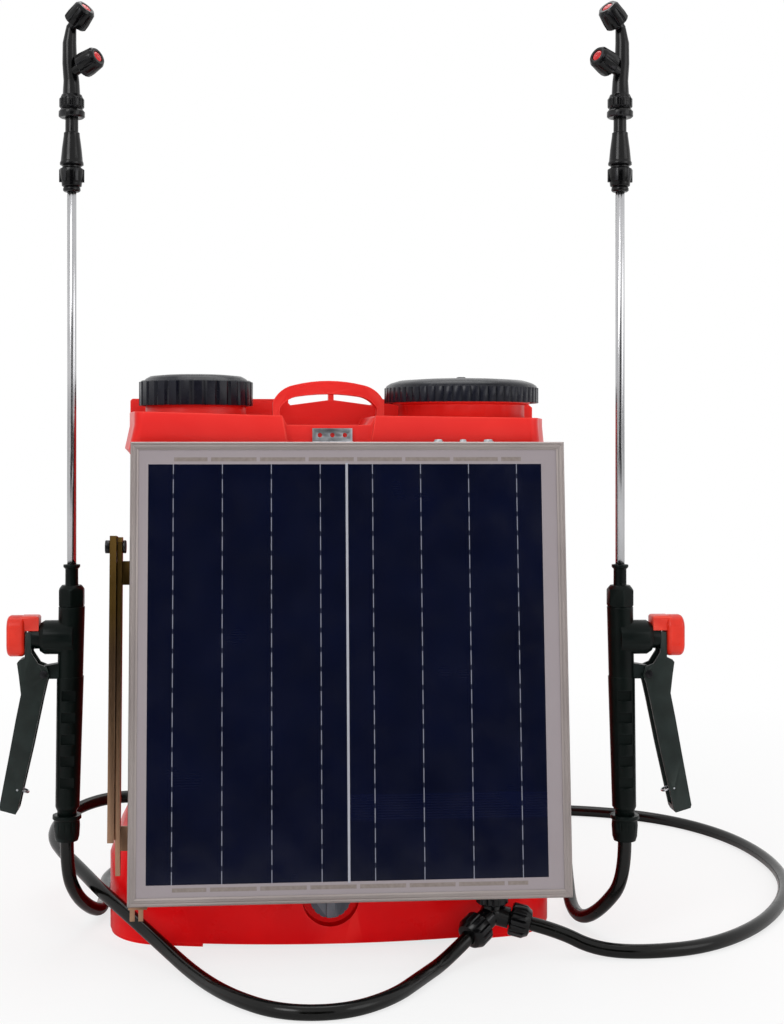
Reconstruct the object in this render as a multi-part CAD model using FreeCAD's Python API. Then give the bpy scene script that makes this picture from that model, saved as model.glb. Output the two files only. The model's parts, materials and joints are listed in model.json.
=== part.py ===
import FreeCAD, Part
import math
import os

# Solar and battery knapsack sprayer with two hand lances.
# Millimetres. X to the right, Y towards the wearer's back, Z up.
# The origin is the middle of the base, on the floor.

V = FreeCAD.Vector

# ---------------------------------------------------------------- base
base_half_width = 200.0
base_front_y = -98.0
base_side_front_y = -30.0
base_bow_x = 155.0
base_bow_y = -82.0
base_corner_x = 188.0
base_corner_y = -62.0
base_rear_y = 130.0
base_rear_radius = 30.0
base_foot_height = 3.0
base_foot_reach = 85.0
base_foot_wall = 9.0
base_shoulder_z = 70.0
base_top_z = 92.0
base_shoulder_inset = 11.0
base_ledge_z = 77.0
base_wall = 3.5
cover_thickness = 3.0
cover_gap = 0.4
centre_foot_radius = 25.0

# ---------------------------------------------------------------- tank
tank_left_x = -178.0
tank_right_x = 190.0
tank_front_y = -92.0
tank_back_y = 98.0
tank_corner = 36.0
tank_wall = 3.0
rim_reach_back = 2.0
rim_reach_front = 3.0
deck_left_xs = (-174.5, -184.0, -189.5)
deck_right_xs = (181.0, 199.5, 204.5)
deck_corner = 10.0
deck_lip_left = 4.5
deck_lip_right = 2.0
deck_z = 455.0
rim_low_z = deck_z - 33
rim_high_z = deck_z - 21
shoulder_z = deck_z + 9
recess_left_x = -46.0
recess_right_x = 36.0
recess_slant = 5.0
recess_front_y = tank_front_y + 4
ridge_z = deck_z + 27
ridge_front_y = tank_back_y - 34
ridge_peak_x = 5.5
ridge_notch_half = 42.0
ridge_notch_drop = 6.0
ridge_lug_half = 2.6
ridge_lug_height = 6.5

# ------------------------------------------------------- filler openings
small_neck_x = -123.5
small_neck_y = -10.0
small_neck_radius = 45.6
small_collar_radius = small_neck_radius + 0.6
small_bore_radius = small_neck_radius - 3.1
small_thread_gap = 3.0
small_cap_radius = small_neck_radius + small_thread_gap + 3.7
small_skirt_drop = 2.8
big_neck_x = 122.4
big_neck_y = -15.0
big_neck_radius = 64.0
big_bore_radius = big_neck_radius - 10
big_collar_radius = big_neck_radius - 5.5
big_thread_gap = 3.2
big_cap_radius = big_neck_radius + big_thread_gap + 4.4
collar_top_z = deck_z + 19
neck_top_z = deck_z + 30
cap_bottom_z = collar_top_z + 2
gasket_thickness = 1.7
basket_flange = 1.5
basket_depth = 62.0
basket_wall = 1.5
basket_gap = 1.5
neck_seat_gap = 0.2
seat_gap = 0.3

# ---------------------------------------------------------- carry handle
arch_left_x = -53.0
arch_right_x = 50.0
arch_top_z = deck_z + 41.5
arch_spring_z = deck_z + 22
arch_leg = 6.5
arch_bar = 12.0
arch_y = -8.0
arch_depth = 22.0

# ---------------------------------------------------------- speed control
knob_x = -4.0
knob_z = 43.0
knob_radius = 18.0
knob_pocket_radius = knob_radius + 7
knob_pocket_depth = 12.0
knob_length = 15.0
knob_shaft_radius = 3.0
shaft_gap = 0.05

# ---------------------------------------------------------- solar panel
panel_x = 10.5
panel_width = 370.0
panel_height = 383.0
panel_depth = 17.0
panel_lip = 7.0
panel_lip_thickness = 1.5
panel_wall = 1.6
panel_flange = 14.0
laminate_thickness = 3.6
laminate_gap = 0.4
panel_lean = 5.55
hinge_y = tank_front_y - 12
hinge_z = deck_z - 18
hinge_below_top = 3.205
hinge_behind_face = 23.958
panel_bottom_y = hinge_y - hinge_behind_face - panel_height * math.sin(math.radians(panel_lean))
panel_bottom_z = hinge_z + hinge_below_top - panel_height * math.cos(math.radians(panel_lean))
hinge_width = 35.0
hinge_x = -2.0
hinge_barrel_radius = 3.5
hinge_pin_radius = 1.6
leaf_thickness = 2.0
leg_length = 252.0
leg_width = 18.0
leg_thickness = 2.0
leg_flange = 5.5
leg_gap = 11.0
leg_pivot_from_top = 88.0
leg_pivot_depth = 9.0
leg_bolt_radius = 3.0
rest_radius = 8.0
rest_z = 112.0
rest_x = 120.0

# ---------------------------------------------------------------- lances
left_lance_x = -230.0
left_lance_y = -70.0
right_lance_x = 250.0
right_lance_y = -106.0
wand_radius = 4.0
wand_wall = 0.8
wand_bottom_z = 288.0
wand_top_z = 668.0
wand_gap = 0.03
grip_top_z = 295.5
grip_bottom_z = 118.5
grip_top_radius = 11.4
grip_bottom_radius = 10.5
grip_lean = -3.7
valve_z = 268.8
valve_radius = 14.9
valve_length = 27.0
valve_collar_radius = 10.0
valve_collar_length = 34.0
stem_radius = 4.0
pivot_x = -23.2
pivot_z = 237.6
pivot_radius = 2.0
lug_half = 5.8
lever_half = 9.0
lever_wall = 2.4
lock_x = -46.0
lock_z = 137.0
lock_wire_radius = 1.0
lock_tip_x = -37.6
lock_tip_z = 133.6
lock_arm_y = 4.2
nozzle_stub_radius = 4.4
nozzle_cap_length = 18.5
nozzle_cap_back = 10.9
nozzle_cap_front = 9.3
nut_offset = -4.2
hose_nut_top_z = 113.0
hose_nut_bottom_z = 90.5

# ----------------------------------------------------------------- hoses
hose_radius = 6.0
tee_x = 134.0
tee_y = -122.0
tee_z = 34.0
tee_radius = 9.0
tee_nut_radius = 14.0
tee_arm = 33.0
left_arm_way = V(-0.70, -0.58, -0.416)
right_arm_way = V(0.955, -0.20, -0.22)

# --------------------------------------------------------------- harness
strap_x = 76.0
strap_width = 52.0
strap_thickness = 7.0
strap_bar_radius = 2.0
upper_bar_y = tank_back_y + 11
upper_bar_z = deck_z - 11
lower_bar_y = base_rear_y + 11
lower_bar_z = 44.0
strap_bow = [(52, 0.93), (78, 0.713), (80, 0.437), (66, 0.21), (48, 0.08)]
pad_gap = 0.4
harness_x = 8.0

# ------------------------------------------------- inside the base
battery_x = -170.0
battery_length = 151.0
battery_y = -38.0
battery_width = 98.0
battery_height = 62.0
inner_floor_z = base_foot_height + cover_thickness
pad_under = 2.4
pump_x = 92.0
pump_y = 40.0
pump_z = 36.0
pump_port_x = 118.3
motor_radius = 19.0
motor_length = 66.0
suction_x = 60.0
suction_y = 62.0
suction_bore = 5.0
suction_radius = 8.0
screen_rib = 2.0
spigot_z = 70.0
outlet_z = 68.0
outlet_radius = 7.0
inner_hose_radius = 4.5
screw_places = [(-175, -40), (-175, 100), (175, -40), (175, 100), (60, -76), (0, 108)]
post_radius = 6.0
screw_radius = 1.7

# ---------------------------------------------------- directions and axes
left_way = V(left_arm_way).normalize()
right_way = V(right_arm_way).normalize()
upper_cap_way = V(0.62, -0.40, 0.675).normalize()
upper_cap_foot = V(-0.6, 0.0, 803.4) + upper_cap_way * 5.0
lower_cap_way = V(0.78, -0.50, 0.37).normalize()
lower_cap_foot = V(-0.9, 0.0, 763.0) + lower_cap_way * 14.0


# ------------------------------------------------------------ small tools
def box(x0, x1, y0, y1, z0, z1):
    return Part.makeBox(x1 - x0, y1 - y0, z1 - z0, V(x0, y0, z0))


def rod(start, end, radius):
    way = end - start
    return Part.makeCylinder(radius, way.Length, start, way)


def join(*shapes):
    whole = shapes[0].multiFuse(list(shapes[1:]))
    return whole.removeSplitter()


def cut(shape, *tools):
    return shape.cut(Part.makeCompound(list(tools)))


def polygon(points):
    return Part.Face(Part.makePolygon([*points, points[0]]))


# A flat outline in the XZ plane, given thickness along Y.
def slab_xz(points, y0, y1):
    face = polygon([V(x, y0, z) for x, z in points])
    return face.extrude(V(0, y1 - y0, 0))


# A flat outline in the YZ plane, given thickness along X.
def slab_yz(points, x0, x1):
    face = polygon([V(x0, y, z) for y, z in points])
    return face.extrude(V(x1 - x0, 0, 0))


# A turned piece: radius and height pairs spun about Z, then set on a way.
def turned(profile, foot=V(0, 0, 0), way=V(0, 0, 1)):
    face = polygon([V(r, 0, z) for r, z in profile])
    solid = face.revolve(V(0, 0, 0), V(0, 0, 1), 360)
    solid.Placement = FreeCAD.Placement(foot, FreeCAD.Rotation(V(0, 0, 1), way))
    return solid


def rounded_rectangle(x0, x1, y0, y1, radius, z):
    bend = radius * (1 - math.sqrt(0.5))
    corners = [(x1, y0, -1, 1), (x1, y1, -1, -1), (x0, y1, 1, -1), (x0, y0, 1, 1)]
    edges = []
    last = V(x0 + radius, y0, z)
    for x, y, sx, sy in corners:
        along_y = (x == x1) == (y == y1)
        if along_y:
            first = V(x, y + sy * radius, z)
            second = V(x + sx * radius, y, z)
        else:
            first = V(x + sx * radius, y, z)
            second = V(x, y + sy * radius, z)
        middle = V(x + sx * bend, y + sy * bend, z)
        edges.append(Part.LineSegment(last, first).toShape())
        edges.append(Part.Arc(first, middle, second).toShape())
        last = second
    return Part.Wire(edges)


def plate(wire, thickness):
    return Part.Face(wire).extrude(V(0, 0, thickness))


# An outline of ribs: wide flat crests and shallow valleys round a circle.
def ribbed_prism(radius, depth, count, z0, z1):
    step = 2 * math.pi / count
    points = []
    for rib in range(count):
        for share, r in ((0.0, radius), (0.60, radius), (0.80, radius - depth)):
            angle = (rib + share) * step
            points.append(V(r * math.cos(angle), r * math.sin(angle), z0))
    return polygon(points).extrude(V(0, 0, z1 - z0))


def moved(shape, x, y, z=0.0):
    copy = shape.copy()
    copy.translate(V(x, y, z))
    return copy


names = []


def save(name, shape):
    shape.exportStep("parts/" + name + ".step")
    names.append(name)
    print(name, "solids", len(shape.Solids), "volume", round(shape.Volume), "valid", shape.isValid())


# ------------------------------------------------------------------ base
def base_outline(inset, z):
    half = base_half_width
    rear = base_rear_y
    turn = base_rear_radius
    bend = turn * (1 - math.sqrt(0.5))
    stops = [
        (V(-base_bow_x, base_bow_y, z), V(0, base_front_y, z), V(base_bow_x, base_bow_y, z)),
        (V(base_bow_x, base_bow_y, z), V(base_corner_x, base_corner_y, z), V(half, base_side_front_y, z)),
        (V(half, base_side_front_y, z), None, V(half, rear - turn, z)),
        (V(half, rear - turn, z), V(half - bend, rear - bend, z), V(half - turn, rear, z)),
        (V(half - turn, rear, z), None, V(turn - half, rear, z)),
        (V(turn - half, rear, z), V(bend - half, rear - bend, z), V(-half, rear - turn, z)),
        (V(-half, rear - turn, z), None, V(-half, base_side_front_y, z)),
        (V(-half, base_side_front_y, z), V(-base_corner_x, base_corner_y, z), V(-base_bow_x, base_bow_y, z)),
    ]
    edges = []
    for start, middle, end in stops:
        if middle is None:
            edges.append(Part.LineSegment(start, end).toShape())
        else:
            edges.append(Part.Arc(start, middle, end).toShape())
    wire = Part.Wire(edges)
    if inset == 0:
        return wire
    return wire.makeOffset2D(-inset)


def base_housing():
    low = plate(base_outline(0, base_foot_height), base_shoulder_z - base_foot_height)
    high = Part.makeLoft([base_outline(0, base_shoulder_z), base_outline(base_shoulder_inset, base_top_z)], True, True)
    body = join(low, high)
    ledge_cut = box(-base_half_width, base_half_width, tank_back_y + 2, base_rear_y + 1, base_ledge_z, base_top_z + 1)
    hollow_low = plate(base_outline(base_wall, base_foot_height), base_ledge_z - base_wall - base_foot_height)
    hollow_high = box(-165, 165, -66, tank_back_y - 6, base_ledge_z - base_wall - 1, base_top_z - base_wall)
    pocket_floor_y = base_front_y + knob_pocket_depth
    boss = rod(V(knob_x, base_front_y + 1.5, knob_z), V(knob_x, pocket_floor_y + base_wall, knob_z),
               knob_pocket_radius + base_wall)
    pocket = rod(V(knob_x, base_front_y - 5, knob_z), V(knob_x, pocket_floor_y, knob_z), knob_pocket_radius)
    shaft_hole = rod(V(knob_x, base_front_y - 5, knob_z), V(knob_x, pocket_floor_y + 20, knob_z),
                     knob_shaft_radius + shaft_gap)
    outlet_hole = rod(V(tee_x, base_front_y - 5, outlet_z), V(tee_x, base_front_y + 20, outlet_z), outlet_radius)
    tank_hole = rod(V(suction_x, suction_y, base_ledge_z), V(suction_x, suction_y, base_top_z + 1), 12.0)
    feet_ring = cut(plate(base_outline(1.0, 0), base_foot_height + 2), plate(base_outline(base_foot_wall, -1), 9))
    middle = base_half_width - base_foot_reach
    feet = cut(feet_ring, box(-middle, middle, -200, 200, -1, 9))
    body = cut(body, hollow_low, hollow_high, ledge_cut)
    body = join(body, boss.common(plate(base_outline(0, base_foot_height), base_shoulder_z)), feet)
    return cut(body, pocket, shaft_hole, outlet_hole, tank_hole)


def bottom_cover():
    sheet = plate(base_outline(base_foot_wall + cover_gap, base_foot_height), cover_thickness)
    ribs = [box(x - 1.5, x + 1.5, -60, 100, 5, 8) for x in (-90, -30, 30, 90)]
    foot = rod(V(0, 0, 0), V(0, 0, base_foot_height + 1), centre_foot_radius)
    return join(sheet, foot, *ribs)


# Corner posts carry the cover, and its screws turn into them.
def cover_posts():
    posts = []
    for x, y in screw_places:
        top = base_ledge_z - base_wall
        post = rod(V(x, y, inner_floor_z), V(x, y, top), post_radius)
        posts.append(cut(post, rod(V(x, y, 0), V(x, y, 26), screw_radius + 0.1)))
    return posts


def cover_screws():
    screws = []
    for x, y in screw_places:
        head = rod(V(x, y, 1.0), V(x, y, base_foot_height), 4.0)
        slot = join(box(x - 2.4, x + 2.4, y - 0.5, y + 0.5, 0, 1.9), box(x - 0.5, x + 0.5, y - 2.4, y + 2.4, 0, 1.9))
        screws.append(cut(join(head, rod(V(x, y, 2), V(x, y, 22), screw_radius)), slot))
    return Part.makeCompound(screws)


# ------------------------------------------------------------------ tank
def tank_section(z, inset):
    return rounded_rectangle(tank_left_x + inset, tank_right_x - inset, tank_front_y + inset, tank_back_y - inset,
                             tank_corner - inset, z)


# The deck is narrow in front, bows out at the sides and flares a little downwards.
def deck_section(z, inset, flare):
    front = tank_front_y - rim_reach_front + inset
    back = tank_back_y + rim_reach_back - inset
    near = deck_corner - inset
    far = tank_corner - inset
    waist = (front + back) / 2 - 12
    lefts = [x - flare * deck_lip_left + inset for x in deck_left_xs]
    rights = [x + flare * deck_lip_right - inset for x in deck_right_xs]
    bend = 1 - math.sqrt(0.5)

    def p(x, y):
        return V(x, y, z)

    def corner(x, y, sx, sy, radius, along_y):
        ends = [p(x, y + sy * radius), p(x + sx * radius, y)]
        if not along_y:
            ends.reverse()
        return Part.Arc(ends[0], p(x + sx * bend * radius, y + sy * bend * radius), ends[1]).toShape()

    edges = [
        Part.LineSegment(p(lefts[0] + near, front), p(rights[0] - near, front)).toShape(),
        corner(rights[0], front, -1, 1, near, False),
        Part.Arc(p(rights[0], front + near), p(rights[1], waist), p(rights[2], back - far)).toShape(),
        corner(rights[2], back, -1, -1, far, True),
        Part.LineSegment(p(rights[2] - far, back), p(lefts[2] + far, back)).toShape(),
        corner(lefts[2], back, 1, -1, far, False),
        Part.Arc(p(lefts[2], back - far), p(lefts[1], waist), p(lefts[0], front + near)).toShape(),
        corner(lefts[0], front, 1, 1, near, True),
    ]
    return Part.Wire(edges)


def tank_block(inset):
    sections = [tank_section(base_top_z + inset, inset), tank_section(rim_low_z, inset),
                deck_section(rim_high_z, inset, 1), deck_section(deck_z - inset, inset, 0)]
    return Part.makeLoft(sections, True, True)


def carry_arch():
    y0 = arch_y - arch_depth / 2
    middle = (arch_left_x + arch_right_x) / 2
    inner_left = arch_left_x + arch_leg
    inner_right = arch_right_x - arch_leg
    inner_spring = arch_spring_z - 6.0
    inner_top = arch_top_z - arch_bar
    reach = 0.62
    haunch_z = arch_spring_z + 0.80 * (arch_top_z - arch_spring_z)
    inner_haunch_z = inner_spring + 0.84 * (inner_top - inner_spring)

    def p(x, z):
        return V(x, y0, z)

    def haunch(x):
        return middle + reach * (x - middle)

    def quarter(x, spring, mid_z, peak, rising):
        bow = p(x + 0.14 * (middle - x), spring + 0.62 * (mid_z - spring))
        ends = [p(x, spring), bow, p(haunch(x), mid_z)]
        if not rising:
            ends.reverse()
        return Part.Arc(*ends).toShape()

    edges = [
        Part.LineSegment(p(arch_left_x, deck_z - 1), p(arch_left_x, arch_spring_z)).toShape(),
        quarter(arch_left_x, arch_spring_z, haunch_z, arch_top_z, True),
        Part.Arc(p(haunch(arch_left_x), haunch_z), p(middle, arch_top_z), p(haunch(arch_right_x), haunch_z)).toShape(),
        quarter(arch_right_x, arch_spring_z, haunch_z, arch_top_z, False),
        Part.LineSegment(p(arch_right_x, arch_spring_z), p(arch_right_x, deck_z - 1)).toShape(),
        Part.LineSegment(p(arch_right_x, deck_z - 1), p(inner_right, deck_z - 1)).toShape(),
        Part.LineSegment(p(inner_right, deck_z - 1), p(inner_right, inner_spring)).toShape(),
        quarter(inner_right, inner_spring, inner_haunch_z, inner_top, True),
        Part.Arc(p(haunch(inner_right), inner_haunch_z), p(middle, inner_top),
                 p(haunch(inner_left), inner_haunch_z)).toShape(),
        quarter(inner_left, inner_spring, inner_haunch_z, inner_top, False),
        Part.LineSegment(p(inner_left, inner_spring), p(inner_left, deck_z - 1)).toShape(),
        Part.LineSegment(p(inner_left, deck_z - 1), p(arch_left_x, deck_z - 1)).toShape(),
    ]
    return Part.Face(Part.Wire(edges)).extrude(V(0, arch_depth, 0))


# Threaded neck rings are moulded first and set in the deck.
def neck(x, y, collar, radius, bore):
    profile = [(bore, deck_z), (collar, deck_z), (collar, collar_top_z),
               (radius, collar_top_z + 1), (radius, neck_top_z), (bore, neck_top_z)]
    return turned(profile, V(x, y, 0))


def filler_necks():
    return Part.makeCompound([neck(small_neck_x, small_neck_y, small_collar_radius, small_neck_radius, small_bore_radius),
                              neck(big_neck_x, big_neck_y, big_collar_radius, big_neck_radius, big_bore_radius)])


def tank_shell():
    outer = tank_block(0)
    cap_stack = plate(deck_section(deck_z - 1, 0, 0), ridge_z - deck_z + 1)
    left = min(deck_left_xs)
    right = max(deck_right_xs)
    left_shoulder = slab_xz([(left, deck_z - 1), (left, shoulder_z + 3), (recess_left_x, shoulder_z - 1),
                             (recess_left_x + recess_slant, deck_z - 1)], -120, ridge_front_y + 1)
    right_shoulder = slab_xz([(recess_right_x - recess_slant, deck_z - 1), (recess_right_x, shoulder_z - 1),
                              (right, shoulder_z - 3), (right, deck_z - 1)], -120, ridge_front_y + 1)
    ridge = slab_xz([(left, deck_z - 1), (left, ridge_z - 2), (left + 2, ridge_z), (right - 10, ridge_z),
                     (right, ridge_z - 8), (right, deck_z - 1)], ridge_front_y, 120)
    notch_left = ridge_peak_x - ridge_notch_half
    notch_right = ridge_peak_x + ridge_notch_half
    notch_z = ridge_z - ridge_notch_drop
    notch = slab_xz([(notch_left, notch_z + 2), (notch_left + 2, notch_z), (ridge_peak_x, ridge_z - 0.6),
                     (notch_right - 2, notch_z), (notch_right, notch_z + 2), (notch_right, ridge_z + 5),
                     (notch_left, ridge_z + 5)], ridge_front_y - 5, 130)
    lug = box(ridge_peak_x - ridge_lug_half, ridge_peak_x + ridge_lug_half, ridge_front_y + 3, ridge_front_y + 17,
              ridge_z - 4, ridge_z + ridge_lug_height)
    crown = join(cap_stack.common(join(left_shoulder, right_shoulder, cut(ridge, notch))), lug)
    front_recess = slab_xz([(recess_left_x + recess_slant, rim_high_z + 2),
                            (recess_right_x - recess_slant, rim_high_z + 2),
                            (recess_right_x, shoulder_z), (recess_left_x, shoulder_z)], -120, recess_front_y)
    seats = [rod(V(small_neck_x, small_neck_y, deck_z), V(small_neck_x, small_neck_y, ridge_z),
                 small_collar_radius + neck_seat_gap),
             rod(V(big_neck_x, big_neck_y, deck_z), V(big_neck_x, big_neck_y, ridge_z),
                 big_collar_radius + neck_seat_gap)]
    body = join(cut(join(outer, crown), front_recess, *seats), carry_arch())
    bores = [rod(V(x, y, deck_z - 20), V(x, y, deck_z + 1), r)
             for x, y, r in ((small_neck_x, small_neck_y, small_bore_radius), (big_neck_x, big_neck_y, big_bore_radius))]
    outlet = rod(V(suction_x, suction_y, base_top_z - 1), V(suction_x, suction_y, base_top_z + 8), suction_bore)
    recess_wall = box(recess_left_x - tank_wall, recess_right_x + tank_wall, -120, recess_front_y + tank_wall,
                      rim_high_z + 2 - tank_wall, deck_z)
    hollow = cut(tank_block(tank_wall), recess_wall)
    return join(cut(body, hollow, outlet, *bores), suction_spigot())


# ------------------------------------------------------- caps and seals
def cap_solid(radius, depth, ribs, inner, ceiling, foot_z, rim_z, dome):
    crown = [(radius - inset, cap_bottom_z + height) for inset, height in dome]
    core = turned([(0, crown[0][1]), *crown, (radius - depth, rim_z), (radius - depth, foot_z),
                   (inner, foot_z), (inner, ceiling), (0, ceiling)])
    skirt = cut(ribbed_prism(radius, depth, ribs, foot_z, rim_z), rod(V(0, 0, 0), V(0, 0, rim_z + 1), inner + 1))
    return join(core, skirt)


def small_cap():
    ceiling = neck_top_z + gasket_thickness + 2 * seat_gap
    dome = [(22.3, 25.4), (10.3, 24.2), (6.3, 22.0), (4.8, 20.4), (2.3, 20.2)]
    cap = cap_solid(small_cap_radius, 1.3, 28, small_neck_radius + small_thread_gap, ceiling,
                    cap_bottom_z - small_skirt_drop, cap_bottom_z + 19, dome)
    return moved(cap, small_neck_x, small_neck_y)


def fill_cap():
    ceiling = neck_top_z + basket_flange + gasket_thickness + 3 * seat_gap
    dome = [(31.6, 21.9), (13.6, 20.6), (5.6, 18.2), (2.1, 16.0)]
    cap = cap_solid(big_cap_radius, 0.9, 56, big_neck_radius + big_thread_gap, ceiling, cap_bottom_z,
                    cap_bottom_z + 13.8, dome)
    vent = moved(turned([(0, 20), (5, 20), (5, 23.4), (3.5, 24.4), (0, 24.4)]), 0, 0, cap_bottom_z)
    return moved(join(cap, vent), big_neck_x, big_neck_y)


def gasket(x, y, bore, radius, z):
    ring = turned([(bore, z), (radius - 0.6, z), (radius - 0.6, z + gasket_thickness), (bore, z + gasket_thickness)])
    return moved(ring, x, y)


def strainer_basket():
    top = neck_top_z + seat_gap + basket_flange
    outer = big_bore_radius - basket_gap
    foot = top - basket_depth
    profile = [(outer - basket_wall, top), (big_neck_radius - 0.6, top), (big_neck_radius - 0.6, top - basket_flange),
               (outer, top - basket_flange), (outer - 4, foot), (0, foot), (0, foot + basket_wall),
               (outer - 4 - basket_wall, foot + basket_wall)]
    cup = turned(profile)
    slots = []
    for turn in range(12):
        slot = box(outer - 12, outer + 4, -4, 4, foot + 8, top - 16)
        slot.rotate(V(0, 0, 0), V(0, 0, 1), turn * 30)
        slots.append(slot)
    return moved(cut(cup, *slots), big_neck_x, big_neck_y)


# --------------------------------------------------------- speed control
def speed_knob():
    floor_y = base_front_y + knob_pocket_depth
    back = floor_y - 1.0
    disc = ribbed_prism(knob_radius, 1.0, 18, 0, knob_length - 5)
    grip = box(-3.5, 3.5, -knob_radius + 2, knob_radius - 2, knob_length - 6, knob_length)
    pointer = box(-0.9, 0.9, 6, knob_radius - 3, knob_length - 1, knob_length + 0.6)
    shaft = Part.makeCylinder(knob_shaft_radius, 26, V(0, 0, -25))
    knob = join(disc, grip, pointer, shaft)
    knob.Placement = FreeCAD.Placement(V(knob_x, back, knob_z), FreeCAD.Rotation(V(1, 0, 0), 90))
    return knob


def speed_control():
    wall_y = base_front_y + knob_pocket_depth + base_wall
    can = rod(V(knob_x, wall_y + 0.3, knob_z), V(knob_x, wall_y + 12, knob_z), 9.0)
    board = box(knob_x - 20, knob_x + 20, wall_y + 10, wall_y + 12, knob_z - 16, knob_z + 22)
    hole = rod(V(knob_x, wall_y - 1, knob_z), V(knob_x, wall_y + 14, knob_z), knob_shaft_radius + shaft_gap)
    heat_sink = box(knob_x + 8, knob_x + 18, wall_y + 1, wall_y + 10, knob_z - 12, knob_z + 12)
    return cut(join(can, board, heat_sink), hole)


# ------------------------------------------------------ battery and pump
def battery():
    z0 = inner_floor_z + pad_under
    case = box(battery_x, battery_x + battery_length, battery_y, battery_y + battery_width, z0, z0 + battery_height)
    lid = box(battery_x + battery_length, battery_x + battery_length + 1.5, battery_y + 4,
              battery_y + battery_width - 4, z0 + 4, z0 + battery_height - 4)
    tabs = [box(battery_x + battery_length, battery_x + battery_length + 7, battery_y + y, battery_y + y + 5,
                z0 + battery_height - 12, z0 + battery_height - 11) for y in (14, battery_width - 19)]
    return join(case.makeFillet(2.0, case.Edges), lid, *tabs)


def pump_motor():
    start = V(pump_x - 12, pump_y, pump_z)
    can = rod(start, start - V(motor_length, 0, 0), motor_radius)
    nose = rod(start - V(motor_length, 0, 0), start - V(motor_length + 5, 0, 0), 7.0)
    return join(can, nose)


def pump_head():
    x0 = pump_port_x - 38
    block = box(x0, x0 + 30, pump_y - 23, pump_y + 23, pump_z - 22, pump_z + 22)
    block = block.makeFillet(4.0, block.Edges)
    chamber = rod(V(x0 + 29, pump_y, pump_z), V(x0 + 46, pump_y, pump_z), 21.0)
    switch = box(x0 + 45, x0 + 62, pump_y - 9, pump_y + 9, pump_z - 8, pump_z + 12)
    inlet = rod(V(x0 + 38, pump_y + 18, pump_z), V(x0 + 38, pump_y + 34, pump_z), 6.0)
    outlet = rod(V(x0 + 38, pump_y - 18, pump_z), V(x0 + 38, pump_y - 34, pump_z), 6.0)
    feet = box(x0 + 4, x0 + 26, pump_y - 30, pump_y + 30, inner_floor_z + pad_under - 0.2, pump_z - 20)
    return join(block, chamber, switch, inlet, outlet, feet)


# A hose path: straight runs joined by arcs as large as the runs allow.
def hose_tube(label, points, radius):
    runs = [points[i + 1] - points[i] for i in range(len(points) - 1)]
    edges = []
    radii = []
    last = points[0]
    for i in range(1, len(points) - 1):
        before = runs[i - 1]
        after = runs[i]
        turn = before.getAngle(after)
        back = 0.45 * min(before.Length, after.Length)
        start = points[i] - before.normalize() * back
        end = points[i] + V(after).normalize() * back
        bend = back / math.tan(turn / 2)
        radii.append(round(bend))
        inward = (start + end) * 0.5 - points[i]
        reach = math.sqrt(bend * bend + back * back) - bend
        middle = points[i] + inward.normalize() * reach
        edges.append(Part.LineSegment(last, start).toShape())
        edges.append(Part.Arc(start, middle, end).toShape())
        last = end
        runs[i - 1] = points[i] - points[i - 1]
    edges.append(Part.LineSegment(last, points[-1]).toShape())
    path = Part.Wire(edges)
    way = points[1] - points[0]
    ring = Part.Wire(Part.makeCircle(radius, points[0], way))
    tube = path.makePipeShell([ring], True, False)
    ideal = math.pi * radius * radius * path.Length
    print(label, "length", round(path.Length), "volume ratio", round(tube.Volume / ideal, 4), "radii", radii)
    return tube


# Spigot moulded under the tank, where the pump draws from, with a cross of ribs that holds back leaves and grit.
def suction_spigot():
    top = base_top_z + tank_wall
    tube = turned([(suction_bore, spigot_z), (suction_radius, spigot_z), (suction_radius, top), (suction_bore, top)],
                  V(suction_x, suction_y, 0))
    reach = suction_bore + 0.5
    half = screen_rib / 2
    ribs = [box(suction_x - reach, suction_x + reach, suction_y - half, suction_y + half, top - 2.5, top),
            box(suction_x - half, suction_x + half, suction_y - reach, suction_y + reach, top - 2.5, top)]
    return join(tube, *ribs)


def suction_hose():
    start = V(suction_x, suction_y, spigot_z)
    points = [start, V(suction_x, suction_y, 48), V(suction_x + 14, suction_y + 22, 36),
              V(suction_x + 38, suction_y + 31, pump_z), V(pump_port_x, pump_y + 48, pump_z),
              V(pump_port_x, pump_y + 34, pump_z)]
    return hose_tube("suction_hose", points, inner_hose_radius)


def delivery_hose():
    points = [V(pump_port_x, pump_y - 34, pump_z), V(pump_port_x, pump_y - 56, pump_z),
              V(pump_port_x + 7, pump_y - 78, pump_z + 12), V(tee_x, pump_y - 98, outlet_z - 4),
              V(tee_x, base_front_y + 14, outlet_z)]
    return hose_tube("delivery_hose", points, inner_hose_radius)


def charge_controller():
    x0, y0, z0 = 20, -48, inner_floor_z + pad_under
    case = box(x0, x0 + 62, y0, y0 + 42, z0, z0 + 24)
    sockets = [box(x0 + 6 + 14 * n, x0 + 16 + 14 * n, y0 - 3, y0, z0 + 4, z0 + 14) for n in range(4)]
    return join(case, *sockets)


# ------------------------------------------------------------- hose tee
def outlet_elbow():
    wall = base_front_y + base_wall
    nut = turned([(5, 0), (tee_nut_radius - 2, 0), (tee_nut_radius - 2, 5), (5, 5)], V(tee_x, wall + 0.3, outlet_z),
                 V(0, 1, 0))
    pipe = rod(V(tee_x, wall + 14, outlet_z), V(tee_x, tee_y, outlet_z), outlet_radius - 0.2)
    collar = rod(V(tee_x, base_front_y + 1.8, outlet_z), V(tee_x, base_front_y - 4.0, outlet_z), tee_nut_radius - 1)
    collar_back = cut(collar, plate(base_outline(0, 0), 90))
    knuckle = Part.makeSphere(outlet_radius + 2.0, V(tee_x, tee_y, outlet_z))
    drop = rod(V(tee_x, tee_y, outlet_z), V(tee_x, tee_y, tee_z + 17.2), hose_radius)
    body = join(pipe, nut, knuckle, drop, collar_back)
    return cut(body, rod(V(tee_x, wall + 15, outlet_z), V(tee_x, wall + 1, outlet_z), 4.9))


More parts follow.
